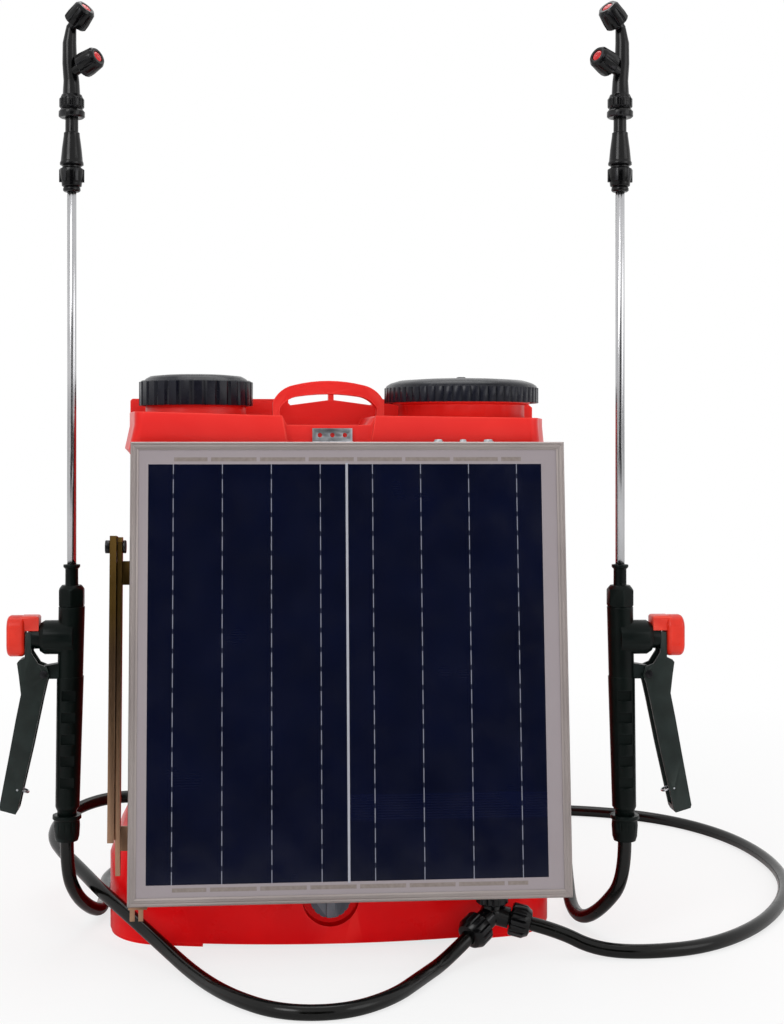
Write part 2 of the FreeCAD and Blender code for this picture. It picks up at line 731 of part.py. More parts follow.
def tee_nut(foot, way):
    nut = turned([(hose_radius + 0.4, 0), (tee_nut_radius - 1.5, 0), (tee_nut_radius, 1.5), (tee_nut_radius, 12),
                  (tee_nut_radius - 3, 17), (hose_radius + 2, 18), (hose_radius + 0.4, 18)])
    ribs = ribbed_prism(tee_nut_radius, 1.4, 16, -1, 19)
    shape = nut.common(ribs)
    shape.Placement = FreeCAD.Placement(foot, FreeCAD.Rotation(V(0, 0, 1), way))
    return shape


def tee_nuts():
    hub = V(tee_x, tee_y, tee_z)
    nuts = [tee_nut(hub + way * (tee_arm - 17), way) for way in (left_way, right_way)]
    nuts.append(tee_nut(hub + V(0, 0, 9), V(0, 0, 1)))
    return Part.makeCompound(nuts)


def outlet_tee():
    hub = V(tee_x, tee_y, tee_z)
    ball = Part.makeSphere(tee_radius + 1.5, hub)
    arms = [rod(hub, hub + way * (tee_arm - 18), tee_radius) for way in (left_way, right_way)]
    barbs = [rod(hub, hub + way * tee_arm, hose_radius) for way in (left_way, right_way)]
    stem = rod(hub, hub + V(0, 0, 8.6), tee_radius)
    inner_stem = rod(hub, hub + V(0, 0, 17), hose_radius)
    return join(ball, stem, inner_stem, *arms, *barbs)


# ----------------------------------------------------------------- hoses
def left_hose_points():
    start = V(tee_x, tee_y, tee_z) + left_way * tee_arm
    return [start, start + left_way * 32,
            V(66, -194, 7), V(37, -236, 6), V(-3, -263, 6), V(-51, -260, 6), V(-88, -226, 6), V(-118, -176, 6),
            V(-149, -124, 15), V(-182, -90, 33), V(-207, -60, 44), V(-226, -26, 51), V(-248, 12, 58),
            V(-262, 48, 63), V(-259, 84, 70), V(-239, 112, 78), V(-206, 124, 83), V(-160, 114, 83),
            V(-78, 119, 83), V(-10, 114, 83), V(52, 119, 83), V(108, 115, 83), V(154, 119, 84), V(188, 118, 84),
            V(216, 102, 80), V(232, 74, 64), V(232, 40, 46), V(227, 4, 24), V(222, -34, 10), V(226, -66, 9),
            V(238, -92, 27), V(right_lance_x - nut_offset, right_lance_y, hose_nut_bottom_z - 35),
            V(right_lance_x - nut_offset, right_lance_y, hose_nut_bottom_z)]


def right_hose_points():
    start = V(tee_x, tee_y, tee_z) + right_way * tee_arm
    return [start, start + right_way * 26, V(218, -141, 8), V(256, -149, 6), V(322, -138, 6), V(392, -78, 6),
            V(446, 14, 6), V(466, 110, 6), V(452, 216, 6), V(398, 300, 6), V(304, 344, 6), V(196, 352, 6),
            V(92, 322, 6), V(-6, 270, 6), V(-104, 226, 6), V(-182, 180, 6), V(-218, 116, 6), V(-212, 54, 6),
            V(-211, 4, 6), V(-218, -27, 17), V(-228, -54, 37),
            V(left_lance_x + nut_offset, left_lance_y, hose_nut_bottom_z - 28),
            V(left_lance_x + nut_offset, left_lance_y, hose_nut_bottom_z)]


# ----------------------------------------------------------- solar panel
# The panel is drawn flat: x across, y up its face from the bottom edge,
# z out of its back, and is then leaned against the tank.
def lean_panel(shape):
    flat = shape.copy()
    flat.Placement = FreeCAD.Placement(V(panel_x, panel_bottom_y, panel_bottom_z),
                                       FreeCAD.Rotation(V(1, 0, 0), 90 - panel_lean)).multiply(flat.Placement)
    return flat


def panel_frame():
    half = panel_width / 2
    high = panel_height
    ring = box(-half, half, 0, high, -panel_depth, 0)
    window = box(-half + panel_lip, half - panel_lip, panel_lip, high - panel_lip, -panel_depth - 1, 1)
    channel = box(-half + panel_wall, half - panel_wall, panel_wall, high - panel_wall,
                  -panel_depth + panel_lip_thickness, -panel_lip_thickness)
    mouth = box(-half + panel_flange, half - panel_flange, panel_flange, high - panel_flange, -panel_depth - 1,
                -panel_depth + panel_lip_thickness + 1)
    back_ring = cut(box(-half, half, 0, high, -panel_depth, -panel_depth + panel_lip_thickness), mouth)
    ring = join(cut(ring, window, channel), back_ring)
    reach = 30.0
    outlines = [
        [(-half, 0), (half, 0), (half - reach, reach), (-half + reach, reach)],
        [(half, 0), (half, high), (half - reach, high - reach), (half - reach, reach)],
        [(half, high), (-half, high), (-half + reach, high - reach), (half - reach, high - reach)],
        [(-half, high), (-half, 0), (-half + reach, reach), (-half + reach, high - reach)],
    ]
    bars = []
    for outline in outlines:
        wedge = polygon([V(x, y, -panel_depth - 1) for x, y in outline]).extrude(V(0, 0, panel_depth + 2))
        bars.append(ring.common(wedge))
    return lean_panel(Part.makeCompound(bars))


def solar_laminate():
    half = panel_width / 2 - panel_wall - laminate_gap
    low = panel_wall + laminate_gap
    top = panel_height - low
    front = -panel_lip_thickness - 0.1
    return lean_panel(box(-half, half, low, top, front - laminate_thickness, front))


def junction_box():
    back = -panel_lip_thickness - 0.1 - laminate_thickness
    y0 = panel_height - 120
    case = box(-48, 48, y0, y0 + 60, -panel_depth + 1.2, back)
    case = case.makeFillet(2.5, [e for e in case.Edges if abs(e.tangentAt(e.FirstParameter).z) > 0.9])
    gland = rod(V(-20, y0 + 1, -panel_depth + 7), V(-20, y0 - 10, -panel_depth + 7), 4.5)
    return lean_panel(join(case, gland))


def to_world(x, y, z):
    lean = math.radians(panel_lean)
    up = V(0, math.sin(lean), math.cos(lean))
    out = V(0, -math.cos(lean), math.sin(lean))
    return V(panel_x + x, panel_bottom_y, panel_bottom_z) + up * y + out * z


# How far forward the back of the leaning frame lies at a height.
def panel_back_y(z):
    lean = math.radians(panel_lean)
    return panel_bottom_y + (z - panel_bottom_z) * math.tan(lean) + (panel_depth + seat_gap) / math.cos(lean)


def knuckles(parts):
    length = hinge_width / 5
    start = hinge_x - hinge_width / 2
    pieces = []
    for n in parts:
        x0 = start + n * length + 0.2
        pieces.append(rod(V(x0, hinge_y, hinge_z), V(x0 + length - 0.4, hinge_y, hinge_z), hinge_barrel_radius))
    return pieces


def hinge_bore():
    return rod(V(hinge_x - 40, hinge_y, hinge_z), V(hinge_x + 40, hinge_y, hinge_z), hinge_pin_radius + shaft_gap)


def leaf_holes(y0, y1, z):
    return [rod(V(hinge_x + dx, y0, z), V(hinge_x + dx, y1, z), 2.0) for dx in (-11, 0, 11)]


def tank_hinge_leaf():
    x0 = hinge_x - hinge_width / 2
    x1 = x0 + hinge_width
    back = recess_front_y - seat_gap
    leaf = box(x0, x1, back - leaf_thickness, back, hinge_z + 1, hinge_z + 15)
    bridge = box(x0, x1, hinge_y, back, hinge_z + 1, hinge_z + 1 + leaf_thickness)
    clear = [rod(V(x0 + n * hinge_width / 5 - 0.3, hinge_y, hinge_z), V(x0 + (n + 1) * hinge_width / 5 + 0.3, hinge_y, hinge_z),
                 hinge_barrel_radius + 0.5) for n in (1, 3)]
    leaf = cut(join(leaf, bridge), *clear, *leaf_holes(back - 5, back + 2, hinge_z + 9))
    return cut(join(leaf, *knuckles((0, 2, 4))), hinge_bore())


def panel_hinge_leaf():
    x0 = hinge_x - hinge_width / 2
    length = hinge_width / 5
    leaf_top = hinge_z - 3.0
    leaf_foot = hinge_z - 21.0
    arms = []
    for n in (1, 3):
        a = x0 + n * length + 0.2
        b = a + length - 0.4
        arms.append(box(a, b, panel_back_y(leaf_top), hinge_y, hinge_z - 3.5, hinge_z - 1.0))
    plate_leaf = slab_yz([(panel_back_y(leaf_top), leaf_top), (panel_back_y(leaf_top) + leaf_thickness, leaf_top),
                          (panel_back_y(leaf_foot) + leaf_thickness, leaf_foot), (panel_back_y(leaf_foot), leaf_foot)],
                         x0, x0 + hinge_width)
    return cut(join(plate_leaf, *arms, *knuckles((1, 3))), hinge_bore())


def hinge_pin():
    x0 = hinge_x - hinge_width / 2 - 1.5
    shank = rod(V(x0, hinge_y, hinge_z), V(x0 + hinge_width + 3, hinge_y, hinge_z), hinge_pin_radius)
    heads = [rod(V(x, hinge_y, hinge_z), V(x + 1.2, hinge_y, hinge_z), 2.6) for x in (x0 - 1.2, x0 + hinge_width + 3)]
    return join(shank, *heads)


# Zinc-plated prop legs hang beside the frame from a bolt near its top.
def leg_pivot(side):
    return to_world(side * (panel_width / 2 + leg_gap), panel_height - leg_pivot_from_top, -leg_pivot_depth)


def prop_leg(side):
    outer = side * (panel_width / 2 + leg_gap + leg_flange)
    inner = side * (panel_width / 2 + leg_gap)
    x0, x1 = min(outer, inner), max(outer, inner)
    top = panel_height - leg_pivot_from_top + 9
    z0 = -leg_pivot_depth - leg_width / 2
    z1 = -leg_pivot_depth + leg_width / 2
    bar = box(x0, x1, top - leg_length, top, z0, z1)
    wall = leg_thickness
    if side < 0:
        slot = box(x0 + wall, x1 + 1, top - leg_length - 1, top - 22, z0 + wall, z1 - wall)
    else:
        slot = box(x0 - 1, x1 - wall, top - leg_length - 1, top - 22, z0 + wall, z1 - wall)
    hole = rod(V(x0 - 1, top - 9, -leg_pivot_depth), V(x1 + 1, top - 9, -leg_pivot_depth), leg_bolt_radius + shaft_gap)
    foot_hole = rod(V(x0 - 1, top - leg_length + 10, -leg_pivot_depth), V(x1 + 1, top - leg_length + 10, -leg_pivot_depth), 2.5)
    return lean_panel(cut(bar, slot, hole, foot_hole))


# Side straps on the frame carry the leg bolts.
def leg_strap(side):
    edge = side * panel_width / 2
    x_out = side * (panel_width / 2 + leg_gap - 0.6)
    x_in = side * (panel_width / 2 + leg_gap - 4.6)
    x0, x1 = min(x_in, x_out), max(x_in, x_out)
    top = panel_height - leg_pivot_from_top + 8
    low = 24.0
    face = polygon([V(x0, low, -14), V(x0, low, -9), V(x0, 60, -3), V(x0, top - 4, -3), V(x0, top, -6),
                    V(x0, top, -14)])
    strap = face.extrude(V(x1 - x0, 0, 0))
    tabs = []
    for y in (low + 20, top - 40):
        a, b = sorted((edge + side * 0.2, x_in + side * 0.5))
        tabs.append(box(a, b, y, y + 20, -13, -10))
    hole = rod(V(x0 - 1, top - 8, -leg_pivot_depth), V(x1 + 1, top - 8, -leg_pivot_depth), leg_bolt_radius + shaft_gap)
    return cut(join(strap, *tabs), hole)


def leg_bolt(side):
    y = panel_height - leg_pivot_from_top
    inner = side * (panel_width / 2 + leg_gap - 6.6)
    outer = side * (panel_width / 2 + leg_gap + leg_flange + 2.4)
    shank = rod(V(inner, y, -leg_pivot_depth), V(outer, y, -leg_pivot_depth), leg_bolt_radius)
    head = rod(V(outer - side * 2.0, y, -leg_pivot_depth), V(outer + side * 2.0, y, -leg_pivot_depth), 5.5)
    nut = rod(V(inner - side * 1.0, y, -leg_pivot_depth), V(inner + side * 1.6, y, -leg_pivot_depth), 5.5)
    return join(shank, head, nut)


# Spring clip with two prongs under the panel's lower left corner.
def corner_clip():
    half = panel_width / 2
    base = box(-half + 1, -half + 16, -2.2, -0.3, -panel_depth + 1, -2)
    prongs = [box(-half + x, -half + x + 4, -12, -1.5, -7, -5) for x in (2, 9)]
    return lean_panel(join(base, *prongs))


def panel_rests():
    posts = []
    for side in (-1, 1):
        x = panel_x + side * rest_x
        stop = to_world(0, (rest_z - panel_bottom_z) / math.cos(math.radians(panel_lean)), -panel_depth - 0.4)
        face = tank_front_y - seat_gap
        foot = rod(V(x, face, rest_z), V(x, face - 5, rest_z), rest_radius + 5)
        post = rod(V(x, face, rest_z), V(x, stop.y - 6, rest_z), rest_radius)
        beyond = lean_panel(box(-panel_width, panel_width, -50, panel_height, -panel_depth - 0.4, 40))
        posts.append(join(foot, cut(post, beyond)))
    return Part.makeCompound(posts)


# --------------------------------------------------------------- harness
def back_pad():
    back = tank_back_y + pad_gap
    pad = box(harness_x - 100, harness_x + 100, back, back + 16, deck_z - 265, deck_z - 55)
    return pad.makeFillet(7.0, [e for e in pad.Edges if e.BoundBox.YMin > back + 8 or e.BoundBox.YLength > 10])


# A strap is one bowed band in the YZ plane, as wide as its webbing.
def shoulder_strap(side):
    clear = strap_bar_radius + seat_gap + strap_thickness / 2
    foot = lower_bar_z + strap_bar_radius + seat_gap
    bow = [(tank_back_y + reach, foot + share * (upper_bar_z - foot)) for reach, share in strap_bow]
    spine = [(upper_bar_y + clear, upper_bar_z), *bow, (lower_bar_y, foot)]
    outer = []
    inner = []
    for i, (y, z) in enumerate(spine):
        y_a, z_a = spine[max(i - 1, 0)]
        y_b, z_b = spine[min(i + 1, len(spine) - 1)]
        length = math.hypot(y_b - y_a, z_b - z_a)
        normal = ((z_a - z_b) / length, (y_b - y_a) / length)
        half = strap_thickness / 2
        outer.append(V(0, y + normal[0] * half, z + normal[1] * half))
        inner.append(V(0, y - normal[0] * half, z - normal[1] * half))
    curves = []
    for line in (outer, inner):
        curve = Part.BSplineCurve()
        curve.interpolate(line)
        curves.append(curve.toShape())
    ends = [Part.LineSegment(outer[0], inner[0]).toShape(), Part.LineSegment(outer[-1], inner[-1]).toShape()]
    face = Part.Face(Part.Wire(Part.__sortEdges__([*curves, *ends])))
    x = harness_x + side * strap_x - strap_width / 2
    return moved(face.extrude(V(strap_width, 0, 0)), x, 0)


def strap_hooks():
    pieces = []
    for side in (-1, 1):
        x = harness_x + side * strap_x
        back = tank_back_y + rim_reach_back + seat_gap
        upper = box(x - 30, x + 30, back, back + 3, upper_bar_z - 8, upper_bar_z + 9)
        lug = box(x - 30, x - 27, back + 2, upper_bar_y + 3, upper_bar_z - 5, upper_bar_z + 4)
        far_lug = moved(lug, 57, 0)
        bar = rod(V(x - 30, upper_bar_y, upper_bar_z), V(x + 30, upper_bar_y, upper_bar_z), strap_bar_radius)
        pieces.append(join(upper, lug, far_lug, bar))
        rear = base_rear_y + seat_gap
        low = box(x - 30, x + 30, rear, rear + 3, lower_bar_z - 14, lower_bar_z + 6)
        cheek = box(x - 30, x - 27, rear + 2, lower_bar_y + 3, lower_bar_z - 10, lower_bar_z + 3)
        far_cheek = moved(cheek, 57, 0)
        low_bar = rod(V(x - 30, lower_bar_y, lower_bar_z), V(x + 30, lower_bar_y, lower_bar_z), strap_bar_radius)
        pieces.append(join(low, cheek, far_cheek, low_bar))
    return Part.makeCompound(pieces)


# ---------------------------------------------------------------- lances
# The lance is drawn about its wand's axis with the lever on the -X side.
def circle_wire(x, z, radius):
    return Part.Wire(Part.makeCircle(radius, V(x, 0, z), V(0, 0, 1)))


def handle_body():
    seam_z = 234.5
    span = grip_top_z - grip_bottom_z
    seam_share = (grip_top_z - seam_z) / span
    seam_x = grip_lean * seam_share
    seam_radius = grip_top_radius + (grip_bottom_radius - grip_top_radius) * seam_share
    upper = Part.makeLoft([circle_wire(0, grip_top_z, grip_top_radius), circle_wire(seam_x, seam_z, seam_radius)], True, True)
    lower = Part.makeLoft([circle_wire(seam_x, seam_z, seam_radius + 0.6),
                           circle_wire(grip_lean, grip_bottom_z + 2, grip_bottom_radius)], True, True)
    chin = Part.makeLoft([circle_wire(grip_lean, grip_bottom_z + 2, grip_bottom_radius),
                          circle_wire(nut_offset, grip_bottom_z - 2, 8.4)], True, True)
    neck_rod = rod(V(nut_offset, 0, grip_bottom_z - 2), V(nut_offset, 0, hose_nut_top_z - 4), 8.4)
    valve = turned([(0, -2), (valve_radius, -2), (valve_radius, valve_length - 4), (valve_radius - 2.5, valve_length),
                    (valve_collar_radius, valve_length), (valve_collar_radius, valve_collar_length), (0, valve_collar_length)],
                   V(0, 0, valve_z), V(-1, 0, 0))
    lug = slab_xz([(-6, pivot_z + 9.5), (pivot_x - 1, pivot_z + 6.5), (pivot_x - 4.6, pivot_z + 3),
                   (pivot_x - 4.6, pivot_z - 3), (pivot_x - 2, pivot_z - 4.6), (-6, pivot_z - 4.6)], -lug_half, lug_half)
    stem_bore = rod(V(-8, 0, valve_z), V(-valve_collar_length - 1, 0, valve_z), stem_radius + 0.05)
    pin_bore = rod(V(pivot_x, -20, pivot_z), V(pivot_x, 20, pivot_z), pivot_radius + shaft_gap)
    wand_bore = rod(V(0, 0, wand_bottom_z - 0.3), V(0, 0, grip_top_z + 1), wand_radius + wand_gap)
    ridges = []
    for n in range(5):
        z = 214 - n * 19
        x = grip_lean * (grip_top_z - z) / span
        ridges.append(box(x - 6, x + 6, -grip_top_radius - 0.2, -grip_top_radius + 3, z, z + 9))
    body = join(upper, lower, chin, neck_rod, valve, lug)
    return cut(body, stem_bore, pin_bore, wand_bore, *ridges)


def valve_knob():
    reach = -valve_collar_length
    disc_in = -39.8
    disc_out = -55.2
    disc = rounded_rectangle(-17.9, 17.9, -12.5, 12.5, 11.0, 0)
    face = plate(disc, disc_in - disc_out)
    face = face.makeFillet(3.5, face.Edges)
    face.Placement = FreeCAD.Placement(V(disc_in, 0, valve_z + 1.6), FreeCAD.Rotation(V(0, 1, 0), -90))
    bridge = box(disc_in - 4, -valve_length - 0.6, -8.5, 8.5, valve_z + 6.2, valve_z + 19.4)
    bridge = bridge.makeFillet(2.5, [e for e in bridge.Edges if e.BoundBox.ZMin > valve_z + 19])
    hollow = rod(V(-valve_length + 1, 0, valve_z), V(disc_in, 0, valve_z), valve_collar_radius + 0.7)
    stem = rod(V(-18, 0, valve_z), V(disc_in - 1, 0, valve_z), stem_radius)
    return join(cut(join(face, bridge), hollow), stem)


lever_outline = [(-38.9, 274), (-34.4, 274), (-33.9, 256), (-27.8, 246.5), (-20.5, 243.5), (-18.6, 236.5),
                 (-21.4, 229), (-24.6, 215), (-33.1, 174), (-38.6, 150), (-45.6, 119), (-47.4, 115.8), (-60.6, 119.6),
                 (-61.4, 122.4), (-52.9, 167.4), (-47.1, 199), (-42.8, 220.3), (-44.6, 236), (-46.2, 247.6),
                 (-44.4, 249.8), (-39.6, 251.6)]


def lever():
    solid = slab_xz(lever_outline, -lever_half, lever_half)
    half = lever_half - lever_wall
    hollow = join(*[slab_xz([(x + step, z) for x, z in lever_outline], -half, half) for step in (3.6, 11.6, 19.6)])
    fork = box(-50, -20, -half, half, 256, 280)
    pin_bore = rod(V(pivot_x, -20, pivot_z), V(pivot_x, 20, pivot_z), pivot_radius + shaft_gap)
    lock_bore = rod(V(lock_x, -20, lock_z), V(lock_x, 20, lock_z), lock_wire_radius + shaft_gap)
    channel = cut(solid, hollow.common(box(-80, 0, -half, half, 122, 256)), fork)
    return cut(channel, pin_bore, lock_bore)


def lever_pin():
    shank = rod(V(pivot_x, -lever_half - 1, pivot_z), V(pivot_x, lever_half + 1, pivot_z), pivot_radius)
    heads = [rod(V(pivot_x, y, pivot_z), V(pivot_x, y + 1.2, pivot_z), 3.4)
             for y in (-lever_half - 1.4, lever_half + 0.2)]
    return join(shank, *heads)


# Bent wire that holds the lever squeezed when it hooks on the grip.
def lock_hook():
    end = lever_half - 0.2
    points = [V(lock_x, -end, lock_z), V(lock_x, -lock_arm_y, lock_z), V(lock_tip_x, -lock_arm_y, lock_tip_z),
              V(lock_tip_x, lock_arm_y, lock_tip_z), V(lock_x, lock_arm_y, lock_z), V(lock_x, end, lock_z)]
    return hose_tube("lock_hook", points, lock_wire_radius)


def hexagon(across, z0, z1):
    radius = across / math.sqrt(3)
    points = [V(radius * math.cos(math.radians(60 * n + 30)), radius * math.sin(math.radians(60 * n + 30)), z0)
              for n in range(6)]
    return polygon(points).extrude(V(0, 0, z1 - z0))


def tube_gland():
    low = grip_top_z + 0.2
    high = 314.4
    bore = wand_radius + wand_gap
    nut = hexagon(21.0, low, high).common(turned([(0, low), (10.8, low), (12.1, low + 1.6), (12.1, high - 4.4),
                                                  (8.6, high), (0, high)]))
    sleeve = turned([(bore, high - 2), (5.7, high - 2), (5.6, 328.6), (6.3, 329.2), (7.3, 330.4), (7.3, 332.4), (bore, 332.9)])
    return cut(join(nut, sleeve), rod(V(0, 0, low - 1), V(0, 0, 340), bore))


def wand_tube():
    outer = rod(V(0, 0, wand_bottom_z), V(0, 0, wand_top_z), wand_radius)
    return cut(outer, rod(V(0, 0, wand_bottom_z - 1), V(0, 0, wand_top_z + 1), wand_radius - wand_wall))


def tip_collet():
    profile = [(2.2, 659.5), (6.4, 659.5), (7.6, 660.6), (7.6, 662.6), (6.8, 663.6), (8.6, 664.6), (9.0, 668),
               (9.8, 671), (10.4, 676), (10.4, 679.4), (8.2, 680.6), (8.2, 682), (10.3, 683.2), (10.3, 685), (9.6, 686.6),
               (8.6, 697), (7.6, 704.5), (7.0, 709), (6.9, 711.3), (5.7, 711.8), (5.6, 726), (2.2, 726)]
    nut_ribs = [box(8.2, 10.9, -1.4, 1.4, 668, 679) for _ in range(6)]
    for turn, rib in enumerate(nut_ribs):
        rib.rotate(V(0, 0, 0), V(0, 0, 1), turn * 60)
    socket = rod(V(0, 0, 650), V(0, 0, wand_top_z + 0.2), wand_radius + 0.01)
    return cut(join(turned(profile), *nut_ribs), socket)


def nozzle_head():
    collar = turned([(5.7, 724.5), (10.2, 724.5), (11.4, 725.6), (11.4, 729.6), (10.2, 731.2), (9.4, 732.4), (10.1, 734),
                     (10.1, 741), (8.8, 744.5), (0, 744.5), (0, 727), (5.7, 727)])
    grooves = []
    for turn in range(10):
        groove = rod(V(10.9, 0, 733.2), V(10.9, 0, 746), 1.6)
        groove.rotate(V(0, 0, 0), V(0, 0, 1), turn * 36)
        grooves.append(groove)
    sections = ((-0.3, 742.5, 7.8), (-0.3, 756.5, 6.9), (-1.8, 772, 6.4), (-2.0, 790, 6.0), (-0.6, 803, 4.6))
    arm = Part.makeLoft([circle_wire(x, z, r) for x, z, r in sections], True, True)
    upper_root = upper_cap_foot - upper_cap_way * 5.0
    lower_root = lower_cap_foot - lower_cap_way * 14.0
    elbow = Part.makeSphere(nozzle_stub_radius, upper_root)
    stubs = [rod(upper_root, upper_cap_foot + upper_cap_way * 7, nozzle_stub_radius),
             rod(lower_root, lower_cap_foot + lower_cap_way * 7, nozzle_stub_radius)]
    return join(cut(collar, *grooves), arm, elbow, *stubs)


def nozzle_cap(foot, way):
    profile = [(4.6, 0), (nozzle_cap_back - 1, 0), (nozzle_cap_back, 1.2), (nozzle_cap_back, 5.5),
               (nozzle_cap_front + 0.4, nozzle_cap_length - 2.5), (nozzle_cap_front - 1.6, nozzle_cap_length), (5.2, nozzle_cap_length),
               (5.0, nozzle_cap_length - 1.4), (1.2, nozzle_cap_length - 1.4), (1.2, 7.6), (4.6, 7.6)]
    cap = turned(profile).common(ribbed_prism(nozzle_cap_back, 1.5, 10, -1, nozzle_cap_length + 1))
    cap.Placement = FreeCAD.Placement(foot, FreeCAD.Rotation(V(0, 0, 1), way))
    return cap


# Red swirl disc let into the front of a nozzle cap.
def nozzle_disc(foot, way):
    face = nozzle_cap_length - 1.35
    disc = turned([(0.6, face), (4.9, face), (4.9, face + 0.9), (4.4, face + 1.5), (1.4, face + 1.1), (0.6, face + 0.9)])
    disc.Placement = FreeCAD.Placement(foot, FreeCAD.Rotation(V(0, 0, 1), way))
    return disc


def hose_nut():
    top = hose_nut_top_z
    low = hose_nut_bottom_z
    profile = [(8.45, top), (12.4, top), (12.6, top - 3), (11.0, top - 4.5), (11.4, top - 9), (10.8, low + 4), (9.6, low),
               (0, low), (0, top - 4.2), (8.45, top - 4.2)]
    nut = turned(profile)
    grooves = []
    for turn in range(12):
        groove = rod(V(12.6, 0, low - 1), V(12.6, 0, top - 5), 1.7)
        groove.rotate(V(0, 0, 0), V(0, 0, 1), turn * 30)
        grooves.append(groove)
    return moved(cut(nut, *grooves), nut_offset, 0)


def placed(side, shape):
    if side == "right":
        return moved(shape.mirror(V(0, 0, 0), V(1, 0, 0)), right_lance_x, right_lance_y)
    return moved(shape, left_lance_x, left_lance_y)


def save_pair(name, shape):
    save(name, Part.makeCompound([placed("left", shape), placed("right", shape)]))


def save_lance(side):
    pieces = {
        "handle": handle_body(),
        "valve_knob": valve_knob(),
        "trigger_lever": lever(),
        "lock_hook": lock_hook(),
        "wand_tube": wand_tube(),
        "tip_collet": tip_collet(),
        "nozzle_head": nozzle_head(),
        "upper_nozzle_cap": nozzle_cap(upper_cap_foot, upper_cap_way),
        "upper_nozzle_disc": nozzle_disc(upper_cap_foot, upper_cap_way),
        "lower_nozzle_cap": nozzle_cap(lower_cap_foot, lower_cap_way),
        "lower_nozzle_disc": nozzle_disc(lower_cap_foot, lower_cap_way),
    }
    for name, shape in pieces.items():
        save(side + "_" + name, placed(side, shape))


def main():
    os.makedirs("parts", exist_ok=True)
    save("base_housing", join(base_housing(), *cover_posts()))
    save("bottom_cover", cut(bottom_cover(), *[rod(V(x, y, 0), V(x, y, 9), screw_radius + 0.3) for x, y in screw_places]))
    save("cover_screws", cover_screws())
    save("tank_shell", tank_shell())
    save("filler_necks", filler_necks())
    save("fill_cap", fill_cap())
    save("fill_gasket", gasket(big_neck_x, big_neck_y, big_bore_radius, big_neck_radius,
                               neck_top_z + basket_flange + 2 * seat_gap))
    save("strainer_basket", strainer_basket())
    save("small_cap", small_cap())
    save("small_gasket", gasket(small_neck_x, small_neck_y, small_bore_radius, small_neck_radius,
                                neck_top_z + seat_gap))
    save("speed_knob", speed_knob())
    save("control_electronics", Part.makeCompound([speed_control(), charge_controller()]))
    save("battery", battery())
    save("pump_motor", pump_motor())
    save("pump_head", pump_head())
    save("inner_hoses", Part.makeCompound([suction_hose(), delivery_hose()]))
    save("outlet_elbow", outlet_elbow())
    save("outlet_tee", outlet_tee())
    save("tee_nuts", tee_nuts())
    save("left_hose", hose_tube("left_hose", left_hose_points(), hose_radius))
    save("right_hose", hose_tube("right_hose", right_hose_points(), hose_radius))
    save("panel_frame", panel_frame())
    save("solar_laminate", solar_laminate())
    save("junction_box", junction_box())
    save("tank_hinge_leaf", tank_hinge_leaf())
    save("panel_hinge_leaf", panel_hinge_leaf())
    save("hinge_pin", hinge_pin())
    save("left_prop_leg", prop_leg(-1))
    save("frame_brackets", Part.makeCompound([lean_panel(leg_strap(-1)), corner_clip()]))
    save("leg_bolts", lean_panel(leg_bolt(-1)))
    save("panel_rests", panel_rests())
    save("back_pad", back_pad())
    save("left_strap", shoulder_strap(-1))
    save("right_strap", shoulder_strap(1))
    save("strap_hooks", strap_hooks())
    save_pair("hose_nuts", hose_nut())
    save_pair("tube_glands", tube_gland())
    save_pair("lever_pins", lever_pin())
    save_lance("left")
    save_lance("right")
    print(len(names), "nodes")


main()
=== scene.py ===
import json
import math
from contextlib import contextmanager

import bmesh
import bpy
import numpy as np
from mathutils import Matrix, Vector


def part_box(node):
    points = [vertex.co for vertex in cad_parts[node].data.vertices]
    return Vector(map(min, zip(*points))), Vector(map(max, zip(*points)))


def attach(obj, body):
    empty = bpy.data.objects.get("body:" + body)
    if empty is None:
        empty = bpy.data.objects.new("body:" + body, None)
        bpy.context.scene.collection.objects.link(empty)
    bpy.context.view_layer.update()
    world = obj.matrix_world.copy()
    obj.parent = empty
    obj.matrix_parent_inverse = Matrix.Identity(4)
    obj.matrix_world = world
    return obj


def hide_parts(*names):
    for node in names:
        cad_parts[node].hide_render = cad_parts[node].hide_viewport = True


# Knapsack sprayer with a solar panel and two hand lances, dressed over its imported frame.
# Metres; X to the right, Y towards the wearer's back, Z up, the floor at 0.

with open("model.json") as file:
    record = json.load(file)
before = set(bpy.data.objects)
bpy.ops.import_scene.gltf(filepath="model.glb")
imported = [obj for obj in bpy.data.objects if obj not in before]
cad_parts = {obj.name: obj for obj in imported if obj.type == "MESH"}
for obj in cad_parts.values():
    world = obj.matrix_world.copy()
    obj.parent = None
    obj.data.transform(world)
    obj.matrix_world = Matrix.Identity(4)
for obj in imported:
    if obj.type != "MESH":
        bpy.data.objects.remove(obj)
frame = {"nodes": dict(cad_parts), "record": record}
nodes = frame["nodes"]
record = frame["record"]
bodyOf = {node: body for body, members in record["behaviour"]["bodies"].items() for node in members}
slotOf = {row["node"]: row["material_slot"] for row in record["subparts"]}
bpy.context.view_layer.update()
scene = bpy.context.scene
mm = 0.001
print("frame loaded:", len(nodes), "nodes")

camera = {
    "place": (-0.0753, -1.3981, 0.440), "turn": 4.303,
    "lens": 52.56, "sensor": 36, "shift": (0.0303, -0.0684),
}
eye = bpy.data.objects.new("studioCamera", bpy.data.cameras.new("studioCamera"))
scene.collection.objects.link(eye)
eye.location = camera["place"]
eye.rotation_euler = (math.radians(90), 0, -math.radians(camera["turn"]))
eye.data.lens = camera["lens"]
eye.data.sensor_width = camera["sensor"]
eye.data.shift_x, eye.data.shift_y = camera["shift"]
scene.camera = eye
scene.view_settings.view_transform = "Standard"


